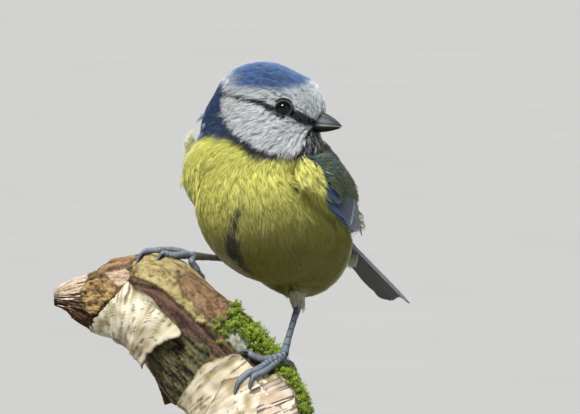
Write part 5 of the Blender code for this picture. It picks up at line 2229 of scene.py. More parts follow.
@dataclass(frozen=True)
class Bill:
    """A tit's short, stout bill, closed on a thin mouth line."""

    base: tuple = (8.6, 0.0, -2.55)
    tip: tuple = (20.3, 0.0, -1.8)
    half_width: float = 2.15
    upper_height: float = 3.45
    lower_height: float = 1.65
    lower_reach: float = 0.955
    mouth_gap: float = 0.16
    nostril: tuple = (13.2, 1.3, -0.3)
    upper_bristles: int = 40  # on each side, over the nostril
    lower_bristles: int = 30  # on each side, at the corner of the mouth

    def mandible(self, height: float, arch: int, reach: float) -> Build:
        """One half of the bill: an arch of horn on a flat cutting edge.

        Args:
            height: How tall it is at its root.
            arch: 1 for the upper half and -1 for the lower.
            reach: Where it ends, as a share of the bill's length.

        Returns:
            The half with its colours.
        """
        rows, sides = 44, 32
        share = np.linspace(0.0, reach, rows)[:, None]
        turn = full_turn(sides)[None]
        middle = mix(np.array(self.base), np.array(self.tip), share)
        wide = self.half_width * (1 - 0.94 * np.clip(share, 0, 1) ** 1.35)
        tall = height * (1 - 0.965 * np.clip(share, 0, 1) ** 3)
        over = np.sin(turn) > 0
        keel = 1 + 0.1 * np.abs(np.sin(turn)) ** 8
        flank = np.cos(turn) * np.where(over, 1 - 0.1 * np.sin(2 * turn) ** 2, 1.0)
        up = np.where(over, np.sin(turn) * keel * tall, np.sin(turn) * 0.1 * tall)
        height = middle[:, 2:3] + arch * (0.5 * self.mouth_gap + up)
        local = np.stack((middle[:, 0:1] + 0 * turn, wide * flank, height), -1)
        points = local.reshape(-1, 3)
        if arch > 0:
            for way in (1, -1):
                off = (points - np.array(self.nostril) * (1, way, 1)) / np.array((0.75, 0.8, 0.38))
                dip = np.clip(1 - np.linalg.norm(off, axis=1), 0, 1)
                points = points - np.stack((0 * dip, way * 0.55 * dip, 0.1 * dip), -1)
        made = Build(HEAD.out(points), grid_faces(rows, sides, closed=True))
        level = np.clip(np.broadcast_to(np.sin(turn), (rows, sides)), 0, 1).ravel()
        along = np.broadcast_to(share, (rows, sides)).ravel()
        if arch > 0:
            horn = mix(to_linear("#1b1f24"), to_linear("#0a0b0d"), ramp(0.5, 0.85, level)[:, None])
            # Painted highlight: a pale grey streak along the upper bill's side.
            painted_highlight = np.exp(-(((level - 0.42) / 0.16) ** 2)) * ramp(0.12, 0.3, along) * ramp(0.95, 0.6, along)
            horn = mix(horn, to_linear("#69737d"), painted_highlight[:, None] * 0.85)
            horn = mix(horn, to_linear("#8d8b82"), (ramp(0.12, 0.0, level) * ramp(0.3, 0.6, along))[:, None])
            horn = mix(horn, to_linear("#101114"), ramp(0.38, 0.16, along)[:, None])
            # Painted shade in the hollow of each nostril.
            for way in (1, -1):
                off = (points - np.array(self.nostril) * (1, way, 1)) / np.array((0.7, 0.9, 0.34))
                horn = mix(horn, to_linear("#0b0b0c"), ramp(1.0, 0.6, np.linalg.norm(off, axis=1))[:, None])
        else:
            horn = mix(to_linear("#1d1d1d"), to_linear("#0b0b0c"), ramp(0.05, 0.4, level)[:, None])
        streak = 0.8 + 0.4 * noise(local.reshape(-1, 3) * np.array((0.25, 1.5, 1.5)), 0.5, 6)
        made.tint = horn * streak[:, None]
        return made

    def bristles(self, draw: np.random.Generator) -> Build:
        """Stiff hairs over the nostrils and at the corners of the mouth.

        Args:
            draw: The random numbers.

        Returns:
            All the hairs.
        """
        hairs = []
        for way, index in itertools.product((1, -1), range(self.upper_bristles + self.lower_bristles)):
            # Where the hair stands, and which way up it points.
            height, rise = (0.1, -0.12) if index < self.upper_bristles else (-2.7, -0.35)
            ahead, aside, lift = draw.uniform(-0.4, 1.0), draw.uniform(0.3, 2.2), draw.uniform(-0.6, 0.9)
            start = np.array((9.6 + ahead, way * aside, height + lift))
            reach = draw.uniform(1.5, 3.0)
            aside, lift = draw.uniform(0.05, 0.45), draw.uniform(-0.1, 0.3)
            way_out = np.array((1.0, way * aside, rise + lift))
            steps = np.linspace(0, 1, 7)[:, None]
            path = start + unit(way_out) * reach * steps + np.array((0, way * 0.35, -0.35)) * steps**2
            made = sweep(HEAD.out(path), np.linspace(0.075, 0.014, 7), 4, HEAD.axes[2])
            shade = "#1a1b1f" if draw.random() < 0.7 else "#b9bcb8"
            made.tint = np.broadcast_to(to_linear(shade), made.points.shape)
            hairs.append(made)
        return Build.joined(hairs)

    def build(self, draw: np.random.Generator) -> None:
        """Makes both halves and the bristles at the bill's root.

        Args:
            draw: The random numbers.
        """
        upper = self.mandible(self.upper_height, 1, 1.0)
        upper.piece("bill_upper_horn", BillHorn(), "bill", ("bill_upper",))
        lower = self.mandible(self.lower_height, -1, self.lower_reach)
        lower.piece("bill_lower_horn", BillHorn(), "bill", ("bill_lower",))
        self.bristles(draw).piece("bill_bristles", DownyKeratin(), "head_plumage")


# The branch.


@dataclass(frozen=True)
class BarkPatch:
    """A patch of the branch's surface.

    Its outline is a list of (distance along the branch in millimetres, degrees round it from
    the upper side towards the viewer).
    """

    outline: tuple
    lift: float
    dark: str
    light: str
    roughness: float = 0.25
    grain: tuple = (2.0, 2.0)  # the size of its lumps along and round the branch
    ragged: float = 0.7
    bevel: float = 0.35

    def cover(self, distance: Array, degrees: Array, wander: Array) -> Array:
        """How much of the surface is this patch at each place, from 0 to 1.

        Args:
            distance: How far along the branch, in millimetres.
            degrees: The turn round it.
            wander: How far each place strays, in millimetres.

        Returns:
            Shares from 0 to 1.
        """
        scale = np.array((1.0, Branch.mm_per_degree))
        corners = np.array(self.outline, float) * scale
        places = np.stack((distance, degrees), -1) * scale + wander * self.ragged
        inside = np.zeros(len(places), bool)
        off = np.full(len(places), 1e9)
        for start, end in zip(corners, np.roll(corners, -1, axis=0)):
            run = end - start
            share = np.clip((places - start) @ run / max(run @ run, 1e-9), 0, 1)[:, None]
            off = np.minimum(off, np.linalg.norm(places - start - run * share, axis=1))
            crosses = (start[1] > places[:, 1]) != (end[1] > places[:, 1])
            drop = end[1] - start[1] if abs(end[1] - start[1]) > 1e-9 else 1e-9
            inside ^= crosses & (places[:, 0] < start[0] + (places[:, 1] - start[1]) / drop * run[0])
        return ramp(-0.5 * self.bevel, 0.5 * self.bevel, np.where(inside, off, -off))


@dataclass(frozen=True)
class Branch:
    """A cut length of birch, broken at its tip and sawn flat at its foot."""

    mm_per_degree = 0.21

    line: tuple = (
        (-50.9, 9.0, 51.8, 1.1),
        (-46.8, 9.0, 51.9, 3.4),
        (-40.5, 8.5, 51.4, 7.2),
        (-34.4, 8.0, 51.5, 10.3),
        (-24.9, 6.0, 49.2, 12.2),
        (-16.0, 3.5, 40.9, 12.9),
        (-9.0, 1.5, 33.6, 13.0),
        (-4.4, 0.5, 26.4, 13.4),
        (-1.2, 0.0, 18.0, 13.8),
        (0.0, 0.0, 8.0, 14.0),
    )
    saw_cut: float = 15.0
    waves: tuple = ((0.45, 2, 0.16, 0.0), (0.3, 3, -0.23, 1.0), (0.5, 0, 0.33, 0.0), (0.25, 1, 0.33, 1.6))
    full_radius: float = 10.0
    rows: int = 250
    sides: int = 280
    wood: BarkPatch = BarkPatch((), 0.0, "#2b2218", "#7a6747", 0.7, (3.0, 1.2))
    patches: tuple = (
        # Torn, pale wood at the broken tip, and the dark splintered wood beneath it.
        BarkPatch(
            ((-3, -180), (9, -180), (7, -60), (8.2, 40), (8, 65), (7, 80), (4.5, 96), (-3, 104)),
            0.1, "#977f66", "#e2d5bd", 0.45, (2.4, 0.7),
        ),
        BarkPatch(
            ((-3, 97), (6, 98), (9.7, 120), (10.5, 180), (-3, 180)),
            -0.3, "#1d130d", "#5a3c28", 0.8, (2.0, 0.7),
        ),
        # Brown knobs of healed bark.
        BarkPatch(
            ((6.9, 66), (8.6, 44), (12.8, 47), (15.8, 60), (17.6, 79), (12.6, 97), (10, 124), (7.4, 92)),
            0.75, "#4a3720", "#b09361", 0.75, (1.6, 1.3), bevel=1.4,
        ),
        BarkPatch(
            ((11, 36), (15.5, -4), (20.2, 18), (17.4, 34), (14.1, 44)),
            0.6, "#45301f", "#a3845f", 0.6, (1.8, 0.8),
        ),
        BarkPatch(
            ((13.6, 34), (17.2, 34), (19.9, 46), (19.7, 62), (16.9, 70), (14.6, 54)),
            -0.3, "#7d6350", "#cbb59b", 0.4, (2.0, 0.6),
        ),
        # The red-brown inner bark laid bare along the middle.
        BarkPatch(
            ((19.5, 62), (25.9, 66), (31.3, 72), (37.9, 71), (42.2, 70), (47.6, 66), (48.4, 84), (43.2, 83),
             (38, 90), (33.6, 86), (26.9, 90), (21.5, 80)),
            -0.55, "#30221a", "#6b5142", 0.3, (3.5, 0.7), 0.3,
        ),
        # A tan plate grown over with lichen.
        BarkPatch(
            ((19.6, 38), (20.5, 8), (21.5, -30), (30, -46), (38.5, -30), (40.6, 8), (41.6, 33), (41.2, 62),
             (38.2, 70), (31.3, 71), (25.9, 65), (21.4, 56)),
            0.75, "#66502f", "#b0a371", 0.35, (1.0, 1.0),
        ),
        BarkPatch(
            ((28, 22), (33, 14), (38, 22), (41, 40), (40.5, 60), (36, 63), (31, 58), (27, 44)),
            0.72, "#5a422e", "#96795a", 0.35, (1.0, 0.9), 1.6, 1.6,
        ),
        # The dark, furrowed band beneath the white plate.
        BarkPatch(
            ((33.5, 175), (34.2, 130), (36.8, 92), (39.9, 84), (44, 79), (45.4, 89), (46.8, 112),
             (47.6, 175)),
            -0.45, "#16130d", "#6d6a45", 0.75, (3.2, 0.9),
        ),
        # Cream paper bark from the left foot down to the saw cut, all round.
        BarkPatch(
            ((47.2, 178), (46.5, 116), (45.4, 99), (47.1, 80), (48.6, 61), (51.5, 60), (55.3, 46), (55.4, 29),
             (60, 22), (62, 8), (64, -30), (61, -60), (57, -100), (60, -140), (55, -181), (100, -181),
             (100, 181), (47.5, 181)),
            0.45, "#a3946a", "#e6dcc0", 0.22, (0.9, 6.0),
        ),
        # The sound white bark of the far side.
        BarkPatch(
            ((9.5, 150), (34, 150), (36, 181), (9.5, 181)),
            0.5, "#a49a78", "#e3ddc4", 0.25, (0.9, 6.0),
        ),
        BarkPatch(
            ((10, -181), (36, -181), (50, -150), (48, -110), (44, -76), (34, -72), (22, -80), (13, -70),
             (11, -120)),
            0.5, "#a49a78", "#ddd6bb", 0.25, (0.9, 6.0),
        ),
        BarkPatch(
            ((44, -50), (52, -64), (58, -50), (55, -30), (46, -26)),
            0.35, "#5f6448", "#a3a683", 0.4, (1.0, 1.0),
        ),
        # Grey crusty lichen among the moss.
        BarkPatch(
            ((42.6, 54), (44, 40), (48.6, 36), (49, 58), (45, 62)),
            0.3, "#555c4a", "#a8ab98", 0.5, (0.8, 0.8),
        ),
    )

    def reach(self) -> Array:
        """The heart line's length at each of its points."""
        heart = np.array(self.line)[:, :3]
        return np.concatenate(((0.0,), np.cumsum(np.linalg.norm(np.diff(heart, axis=0), axis=1))))

    def relief(self, distance: Array, degrees: Array) -> Array:
        """How far the branch's broad lumps stand out.

        Args:
            distance: How far along the heart line, in millimetres.
            degrees: The turn round it, from the upper side towards the viewer.

        Returns:
            Heights in millimetres.
        """
        turn = np.radians(degrees)
        return sum(
            height * np.sin(turns * turn + pace * distance + start)
            for height, turns, pace, start in self.waves
        )

    def place(self, distance: Array, degrees: Array, lift: Array = 0.0) -> tuple[Array, Array]:
        """Places off the bark.

        Args:
            distance: How far along the heart line, in millimetres.
            degrees: The turn round it, from the upper side towards the viewer.
            lift: The height off the bark.

        Returns:
            The places, and the way out of the bark at each.
        """
        distance, degrees = np.broadcast_arrays(np.asarray(distance, float), np.asarray(degrees, float))
        rows = len(self.line) - 1
        at = np.interp(distance, self.reach(), np.arange(rows + 1))
        here = through(self.line, at)
        further, nearer = (through(self.line, at + step * rows)[:, :3] for step in (0.01, -0.01))
        along = unit(further - nearer)
        front = unit(np.array((0.0, -1.0, 0.0)) - along * -along[:, 1:2])
        upper = np.cross(front, along)
        turn = np.radians(degrees)[:, None]
        out = upper * np.cos(turn) + front * np.sin(turn)
        relief = self.relief(distance, degrees) * np.minimum(1.0, here[:, 3] / self.full_radius)
        return here[:, :3] + out * (here[:, 3] + relief + lift)[:, None], out

    def skin(self, distance: Array, degrees: Array) -> tuple[Array, Array]:
        """The bark's own height and colour, patch by patch.

        Args:
            distance: How far along the heart line, in millimetres.
            degrees: The turn round it, from -180 to 180.

        Returns:
            Heights in millimetres, and linear colours.
        """
        heart, _ = self.place(distance, degrees)
        wander = [noise(heart, 1.6, seed) + 0.5 * noise(heart, 0.6, seed + 9) - 0.75 for seed in (40, 41)]
        wander = np.stack(wander, -1)
        flat = np.stack((distance, degrees * self.mm_per_degree, 0 * distance), -1)
        height, colour = self.look(self.wood, flat, heart)
        for patch in self.patches:
            cover = patch.cover(distance, degrees, wander)
            over, tint = self.look(patch, flat, heart)
            height = mix(height, over, cover)
            # Painted shade: a dark line along the edge of each patch that stands well above or sinks well
            # below the bark round it.
            step_shade = (cover * (1 - cover) * 4)[:, None]
            colour = mix(colour, tint, cover[:, None]) * (1 - 0.55 * step_shade * (abs(patch.lift) > 0.25))
        torn = ramp(14.0, 2.0, distance) * ramp(15.0, 6.0, distance)
        height = height + torn * (noise(flat * np.array((0.22, 1.4, 1.0)), 1.0, 50) - 0.5) * 2.2
        return height, colour

    @staticmethod
    def look(patch: BarkPatch, flat: Array, heart: Array) -> tuple[Array, Array]:
        """One patch's own heights and colours.

        Args:
            patch: The patch.
            flat: Places on the unrolled bark, in millimetres.
            heart: The same places in the row frame.

        Returns:
            Heights in millimetres, and linear colours.
        """
        cell = np.array((patch.grain[0], patch.grain[1], 1.0))
        coarse = noise(flat / cell, 1.0, 60) * 0.6 + noise(flat / cell, 0.4, 61) * 0.4
        fine = noise(heart, 0.45, 62)
        height = patch.lift + patch.roughness * ((coarse - 0.5) * 1.6 + (fine - 0.5) * 0.5)
        light = np.clip(0.5 + (coarse - 0.5) * 1.6 + (fine - 0.5) * 0.9, 0, 1)[:, None]
        return height, mix(to_linear(patch.dark)[None], to_linear(patch.light)[None], light)

    def body(self) -> Build:
        """The branch itself, closed by its torn tip and its sawn foot.

        Returns:
            The closed branch, with its colours.
        """
        degrees = np.linspace(-180, 180, self.sides, endpoint=False)
        low, high = np.full(self.sides, 55.0), np.full(self.sides, self.reach()[-1])
        for _ in range(24):
            middle = 0.5 * (low + high)
            above = self.place(middle, degrees)[0][:, 2] > self.saw_cut
            low, high = np.where(above, middle, low), np.where(above, high, middle)
        share = np.linspace(0, 1, self.rows)
        distance = (share[:, None] * low[None]).ravel()
        around = np.tile(degrees, self.rows)
        height, colour = self.skin(distance, around)
        ending = ramp(1.0, 0.985, np.repeat(share, self.sides))
        points, _ = self.place(distance, around, height * mix(0.4, 1.0, ending))
        rim = points[-self.sides :]
        rim[:, 2] = self.saw_cut
        cut_rows = 14
        cut_share = np.linspace(0, 0.98, cut_rows)[1:, None, None]
        face = mix(rim[None], rim.mean(axis=0)[None, None], cut_share)
        face[..., 2] = self.saw_cut
        rings = 0.7 + 0.3 * np.sin(cut_share * 60) + 0 * face[..., :1]
        points = np.concatenate((points, face.reshape(-1, 3)))
        tint = np.concatenate((colour, (to_linear("#c2a274") * rings).reshape(-1, 3)))
        made = Build(points, grid_faces(self.rows + cut_rows - 1, self.sides, closed=True), tint)
        return self.capped(made)

    def capped(self, made: Build) -> Build:
        """Closes the torn tip and the middle of the saw cut.

        Args:
            made: The branch with both ends open.

        Returns:
            The same build, closed.
        """
        caps = end_caps(len(made.points) // self.sides, self.sides)
        tip, heart = (rim.mean(axis=0) for rim in (made.points[: self.sides], made.points[-self.sides :]))
        made.points = np.concatenate((made.points, tip[None], heart[None]))
        made.tint = np.concatenate((made.tint, made.tint[:1], made.tint[-1:]))
        made.faces = np.concatenate((made.faces, caps))
        return made


@dataclass(frozen=True)
class PaperSheet:
    """A loose sheet of paper bark between two edges on the branch.

    An edge is a list of (distance along the branch, degrees round it). The sheet's own height
    runs from the first edge to the second, and its corners may curl up.
    """

    first: tuple
    second: tuple
    lift: tuple
    curl: float
    dark: str = "#9c8f66"
    light: str = "#e4ddc6"
    rim: str = "#6d5238"
    thickness: float = 0.3
    ragged: float = 0.35
    rows: int = 60
    columns: int = 44
    seed: int = 0

    def build(self, branch: Branch) -> Build:
        """Makes the sheet.

        Args:
            branch: What it peels off.

        Returns:
            A thin closed body with its colours.
        """
        u = np.linspace(0, 1, self.rows)
        v = np.linspace(0, 1, self.columns)
        edges = []
        for index, line in enumerate((self.first, self.second)):
            places = through(np.array(line, float), u * (len(line) - 1))
            spots = np.stack((u * 30, 0 * u + index * 7, 0 * u), -1)
            rough = (noise(spots, 1.3, self.seed) - 0.5) * 1.2
            rough = rough + (noise(spots, 0.4, self.seed + 1) - 0.5) * 0.8
            reach = np.array((self.ragged, self.ragged / Branch.mm_per_degree))
            edges.append(places + rough[:, None] * reach)
        flat = mix(edges[0][:, None], edges[1][:, None], v[None, :, None])
        distance, degrees = flat[..., 0].ravel(), flat[..., 1].ravel()
        grid_u, grid_v = (grid.ravel() for grid in np.meshgrid(u, v, indexing="ij"))
        lift = mix(self.lift[0], self.lift[1], grid_v)
        ends = np.minimum(grid_u, 1 - grid_u)
        uneven = noise(np.stack((grid_u * 8, 0 * grid_u, 0 * grid_u), -1), 1.0, self.seed + 2)
        lift = lift + self.curl * grid_v**3 * (0.5 + uneven)
        lift = lift + 0.35 * self.curl * ramp(0.12, 0.0, ends) * grid_v
        heart, _ = branch.place(distance, degrees)
        streaks = np.stack((distance / 0.5, degrees * Branch.mm_per_degree / 4.0, 0 * distance), -1)
        grain = noise(streaks, 1.0, self.seed + 3)
        lift = lift + (grain - 0.5) * 0.16 + (noise(heart, 2.2, self.seed + 4) - 0.5) * 0.5
        top, _ = branch.place(distance, degrees, lift)
        below, _ = branch.place(distance, degrees, lift - self.thickness)
        shape = (self.rows, self.columns, 3)
        made = closed_sheet(top.reshape(shape), below.reshape(shape))
        light = 0.55 + (grain - 0.5) + (noise(heart, 1.8, self.seed + 5) - 0.5) * 1.1
        tint = Tone(self.dark, self.light).at(light)
        dashes = np.stack((distance / 0.45, degrees * Branch.mm_per_degree / 2.2, 0 * distance), -1)
        lenticel = ramp(0.74, 0.8, noise(dashes, 1.0, self.seed + 6))
        tint = mix(tint, to_linear("#4a3a26")[None], lenticel[:, None] * 0.75)
        off = np.minimum(np.minimum(ends * 12, (1 - grid_v) * 10), 1)[:, None]
        tint = mix(to_linear(self.rim)[None], tint, ramp(0.0, 0.35, off))
        made.tint = np.concatenate((tint, np.broadcast_to(to_linear("#7a5a40"), tint.shape) * 0.8))
        return made


SHEETS = (
    # The white plate on the left, with its free edge over the dark band.
    PaperSheet(
        ((10.2, 150), (10.6, 128), (11.6, 110), (14.5, 93), (17.6, 79), (20.2, 63)),
        ((35, 158), (34.4, 130), (35.4, 108), (36.8, 90), (29.5, 87), (21.4, 70)),
        (0.7, 0.9), 1.5, seed=70,
    ),
    # Layers of the cream bark below the dark band.
    PaperSheet(
        ((64, 150), (62, 120), (60, 95), (58, 70), (57, 52)),
        ((47.5, 152), (46.6, 118), (45.8, 99), (47.4, 80), (49, 62)),
        (0.5, 0.8), 0.7, "#a3946a", "#eadfc4", seed=74,
    ),
    PaperSheet(
        ((72, 135), (70, 100), (68, 70), (66, 50)),
        ((56, 132), (53, 108), (51.5, 88), (54, 66)),
        (0.7, 0.9), 0.5, "#ab9b74", "#efe6d2", seed=78,
    ),
    PaperSheet(
        ((56, 84), (60, 84), (64, 82), (70, 80)),
        ((56.5, 44), (60.5, 36), (63.5, 42), (70, 40)),
        (0.8, 1.0), 0.9, "#b59f80", "#ecdcc8", ragged=0.9, seed=82,
    ),
    PaperSheet(
        ((70, 120), (72, 90), (74, 60), (75, 40)),
        ((63, 118), (62, 92), (64, 64), (66, 44)),
        (0.8, 1.1), 0.6, "#a3946a", "#e6dcc0", seed=86,
    ),
    # Curls on the far side.
    PaperSheet(
        ((30, -100), (34, -130), (30, -160)),
        ((44, -96), (46, -130), (43, -162)),
        (0.7, 0.9), 1.3, seed=90,
    ),
    PaperSheet(
        ((14, -90), (16, -130), (15, -170)),
        ((25, -88), (27, -130), (26, -172)),
        (0.6, 0.8), 0.9, seed=94,
    ),
    PaperSheet(
        ((68, -60), (70, -100), (69, -150)),
        ((58, -64), (59, -100), (57, -150)),
        (0.7, 0.9), 1.0, seed=98,
    ),
)


@dataclass(frozen=True)
class Moss:
    """Tufts of moss: short leafy stems that crowd along the branch's upper side."""

    beds: tuple = (
        # Middle distance, middle degrees, half length, half width in degrees, stems and stem height.
        (43.0, 44, 2.2, 22, 60, 1.7),
        (47.5, 24, 3.5, 22, 150, 2.3),
        (51.8, 14, 3.0, 20, 130, 2.2),
        (56.5, 22, 3.5, 16, 100, 1.7),
        (60.5, 14, 3.5, 16, 110, 2.0),
        (66.0, 24, 4.5, 14, 110, 1.8),
        (72.0, 28, 3.0, 12, 50, 1.6),
        (40.6, 24, 1.2, 16, 26, 2.2),
        (52.0, -28, 6.0, 20, 110, 1.8),
        (66.0, -12, 5.0, 18, 80, 1.7),
    )
    leaves: int = 16
    leaf_length: float = 0.85
    leaf_width: float = 0.26
    tone: Tone = Tone("#2c4208", "#a0b83c")

    def build(self, branch: Branch, draw: np.random.Generator) -> Build:
        """Grows every stem as a whorl of pointed leaves.

        Args:
            branch: What the moss grows on.
            draw: The random numbers.

        Returns:
            All the leaves.
        """
        roots, outs, heights = [], [], []
        for distance, degrees, half_length, half_width, stems, height in self.beds:
            off = draw.normal(0, 0.5, (stems, 2))
            along, around = distance + off[:, 0] * half_length, degrees + off[:, 1] * half_width
            lift, _ = branch.skin(along, around)
            place, out = branch.place(along, around, lift)
            roots.append(place)
            outs.append(out)
            heights.append(height * draw.uniform(0.5, 1.25, stems) * np.exp(-0.3 * np.sum(off**2, axis=1)))
        root, out, height = np.concatenate(roots), np.concatenate(outs), np.concatenate(heights)
        count = len(root)
        lean = unit(out + draw.normal(0, 0.4, (count, 3)) + np.array((0, 0, 0.35)))
        side = unit(np.cross(lean, draw.normal(size=(count, 3))))
        other = np.cross(lean, side)
        level = (np.arange(self.leaves) + draw.uniform(0, 1, (count, self.leaves))) / self.leaves
        turn = np.arange(self.leaves) * 2.4 + draw.uniform(0, 6.28, (count, 1))
        base = root[:, None] + lean[:, None] * (level * height[:, None] - 0.2)[..., None]
        ray = side[:, None] * np.cos(turn)[..., None] + other[:, None] * np.sin(turn)[..., None]
        up_share = 0.35 + 0.9 * level**2
        way = unit(ray + lean[:, None] * up_share[..., None])
        across = unit(np.cross(way, lean[:, None]))
        length = (self.leaf_length * (1.1 - 0.45 * level) * draw.uniform(0.7, 1.3, level.shape))[..., None]
        belly = base + way * length * 0.4
        wide = across * self.leaf_width * 0.5
        droop = np.cross(across, way) * length * 0.12
        point = base + way * length + droop
        corners = np.stack((base, belly + wide, belly - wide, belly - droop * 1.2, point), axis=2)
        blades = count * self.leaves
        pattern = np.array([(0, 1, 3), (0, 3, 2), (0, 2, 1), (1, 4, 3), (3, 4, 2), (2, 4, 1)])
        faces = (pattern[None] + 5 * np.arange(blades)[:, None, None]).reshape(-1, 3)
        light = np.clip(0.15 + 0.75 * level + draw.normal(0, 0.15, level.shape), 0, 1).ravel()
        tint = np.repeat(self.tone.at(light), 5, axis=0).reshape(-1, 5, 3)
        tint = tint * np.array((0.55, 1.0, 1.0, 0.8, 1.35))[None, :, None]
        return Build(corners.reshape(-1, 3), faces, tint.reshape(-1, 3))


@dataclass(frozen=True)
class Splinters:
    """Torn fibres of wood that stand out of the broken tip."""

    count: int = 70
    reach: tuple = (1.5, 13.0)

    def build(self, branch: Branch, draw: np.random.Generator) -> Build:
        """Makes each fibre as a tapered, slightly bent strip.

        Args:
            branch: What they stand out of.
            draw: The random numbers.

        Returns:
            All the fibres.
        """
        fibres = []
        for _ in range(self.count):
            degrees = draw.uniform(-180, 180)
            end = draw.uniform(0.0, 6.0)
            start = end + draw.uniform(3.0, 7.0)
            steps = np.linspace(0, 1, 8)
            bend = degrees + steps**2 * draw.uniform(-12, 12)
            lift = mix(-1.0, draw.uniform(-0.2, 0.8), steps)
            path, _ = branch.place(mix(start, end, steps), bend, lift)
            wide = draw.uniform(0.25, 0.8)
            made = sweep(path, wide * (1 - 0.85 * steps), 6, np.array((0.1, -0.2, 1.0)))
            pale = draw.random() < 0.55
            shade = to_linear("#d8c2ac" if pale else "#5a3d29") * draw.uniform(0.7, 1.2)
            uneven = 0.7 + 0.5 * noise(made.points, 0.6, 51)
            made.tint = np.broadcast_to(shade, made.points.shape) * uneven[:, None]
            fibres.append(made)
        return Build.joined(fibres)


# Legs.


class Digit(Enum):
    """The four toes of a perching bird's foot."""

    INNER = "inner"
    MIDDLE = "middle"
    OUTER = "outer"
    HIND = "hind"


@dataclass(frozen=True)
class Leg:
    """A shank and a foot that grips the bark.

    The heel and the toes' points are places on the branch: distance along it, degrees round it
    and height off the bark.
    """

    side: Side
    ankle: tuple
    heel: tuple
    toes: dict
    shank_tone: Tone
    toe_tone: Tone = Tone("#262b32", "#7a8590")
    shank_radii: tuple = (0.92, 0.78, 0.72, 0.8, 1.05)
    toe_radius: float = 0.74
    claw_radii: tuple = (0.62, 0.5, 0.34, 0.07)
    shank_scutes: int = 7
    scute_length: float = 0.95

    def tube(self, path: Array, radius: Array, up: Array, plates: int, tone: Tone, sides: int = 20) -> Build:
        """A scaled limb: plates over its upper half and small pads beneath.

        Args:
            path: The middle line.
            radius: The radius at each point.
            up: The way out of its upper side.
            plates: How many plates it has.
            tone: Its colours.
            sides: How many sides it has.

        Returns:
            The closed limb.
        """
        rows = len(path)
        angle = full_turn(sides)
        share = np.arange(rows)[:, None] / (rows - 1)
        phase = (share * plates) % 1.0
        upper = ramp(-0.1, 0.5, np.cos(angle))[None]
        step = 0.13 * (1 - phase) * upper
        pads = 0.1 * np.abs(np.sin(share * plates * math.pi * 0.8)) * (1 - upper)
        made = sweep(path, radius[:, None] * (1 + step + pads), sides, up)
        seam = np.clip(ramp(0.16, 0.04, phase) + ramp(0.9, 1.0, phase), 0, 1) * upper
        uneven = noise(made.points[: rows * sides], 0.5, 7).reshape(rows, sides) - 0.5
        light = 0.62 - 0.6 * seam - 0.25 * (1 - upper) + 0.25 * uneven
        tint = tone.at(light.ravel())
        made.tint = np.concatenate((tint, tint[:1], tint[-1:]))
        return made

    def shank(self, heel: Array) -> Build:
        """The shank, from a little above the ankle to the heel.

        Args:
            heel: Where the toes start.

        Returns:
            The scaled limb.
        """
        front = unit(np.array((-0.25, -1.0, 0.2)))
        rows = 70
        share = np.linspace(-0.12, 1.0, rows)
        bow = 0.25 * np.sin(np.clip(share, 0, 1) * math.pi)
        path = mix(np.array(self.ankle), heel, share[:, None]) + front * bow[:, None]
        radii = np.array(self.shank_radii)[:, None]
        radius = through(radii, np.linspace(0, len(radii) - 1, rows))[:, 0]
        return self.tube(path, radius, front, self.shank_scutes, self.shank_tone)

    def toe(self, knots: Array, outs: Array) -> Build:
        """One toe, up to its claw.

        Args:
            knots: Places along its middle line, the last at the claw's point.
            outs: The way out of its upper side at each.

        Returns:
            The scaled limb.
        """
        length = np.linalg.norm(np.diff(knots, axis=0), axis=1).sum()
        last = len(knots) - 3.2
        at = np.linspace(0, last, 80)
        bulge = 1 + 0.12 * np.abs(np.cos(at * math.pi))
        slim = self.toe_radius * np.interp(at, (0, 0.6, last - 0.35, last), (1.15, 1.0, 0.95, 0.55)) * bulge
        plates = max(5, int(length / self.scute_length))
        return self.tube(through(knots, at), slim, unit(through(outs, at)), plates, self.toe_tone)

    def claw(self, knots: Array, outs: Array) -> Build:
        """The claw at a toe's end.

        Args:
            knots: Places along the toe's middle line, the last at the claw's point.
            outs: The way out of its upper side at each.

        Returns:
            The tapered claw.
        """
        rows, sides = 36, 14
        at = np.linspace(len(knots) - 3.65, len(knots) - 1, rows)
        slim = np.interp(np.linspace(0, 1, rows), np.linspace(0, 1, 4), self.claw_radii)
        made = sweep(through(knots, at), slim, sides, unit(through(outs, at)))
        # Painted highlight: a pale stripe along the claw's upper side.
        light = ramp(-0.2, 1.0, np.cos(full_turn(sides)))[None] * np.ones((rows, 1))
        tint = mix(to_linear("#131418")[None], to_linear("#62676f")[None], light.reshape(-1, 1) ** 3 * 0.8)
        made.tint = np.concatenate((tint, tint[:1], tint[-1:]))
        return made

    def build(self, branch: Branch) -> None:
        """Makes the leg's scaled skin and its claws.

        Args:
            branch: What the toes grip.
        """
        heel = branch.place(*(np.array([value]) for value in self.heel))[0][0]
        limbs, claws = [self.shank(heel)], []
        for digit in Digit:
            knots, outs = branch.place(*np.array(self.toes[digit], float).T)
            knots = np.concatenate((heel[None], knots))
            outs = np.concatenate((outs[:1], outs))
            limbs.append(self.toe(knots, outs))
            claws.append(self.claw(knots, outs))
        name = "leg_" + self.side.label
        Build.joined(limbs).piece(name + "_scales", ScaledSkin(), "leg_skin", (name,))
        Build.joined(claws).piece("claws_" + self.side.label, BillHorn(), "leg_skin")


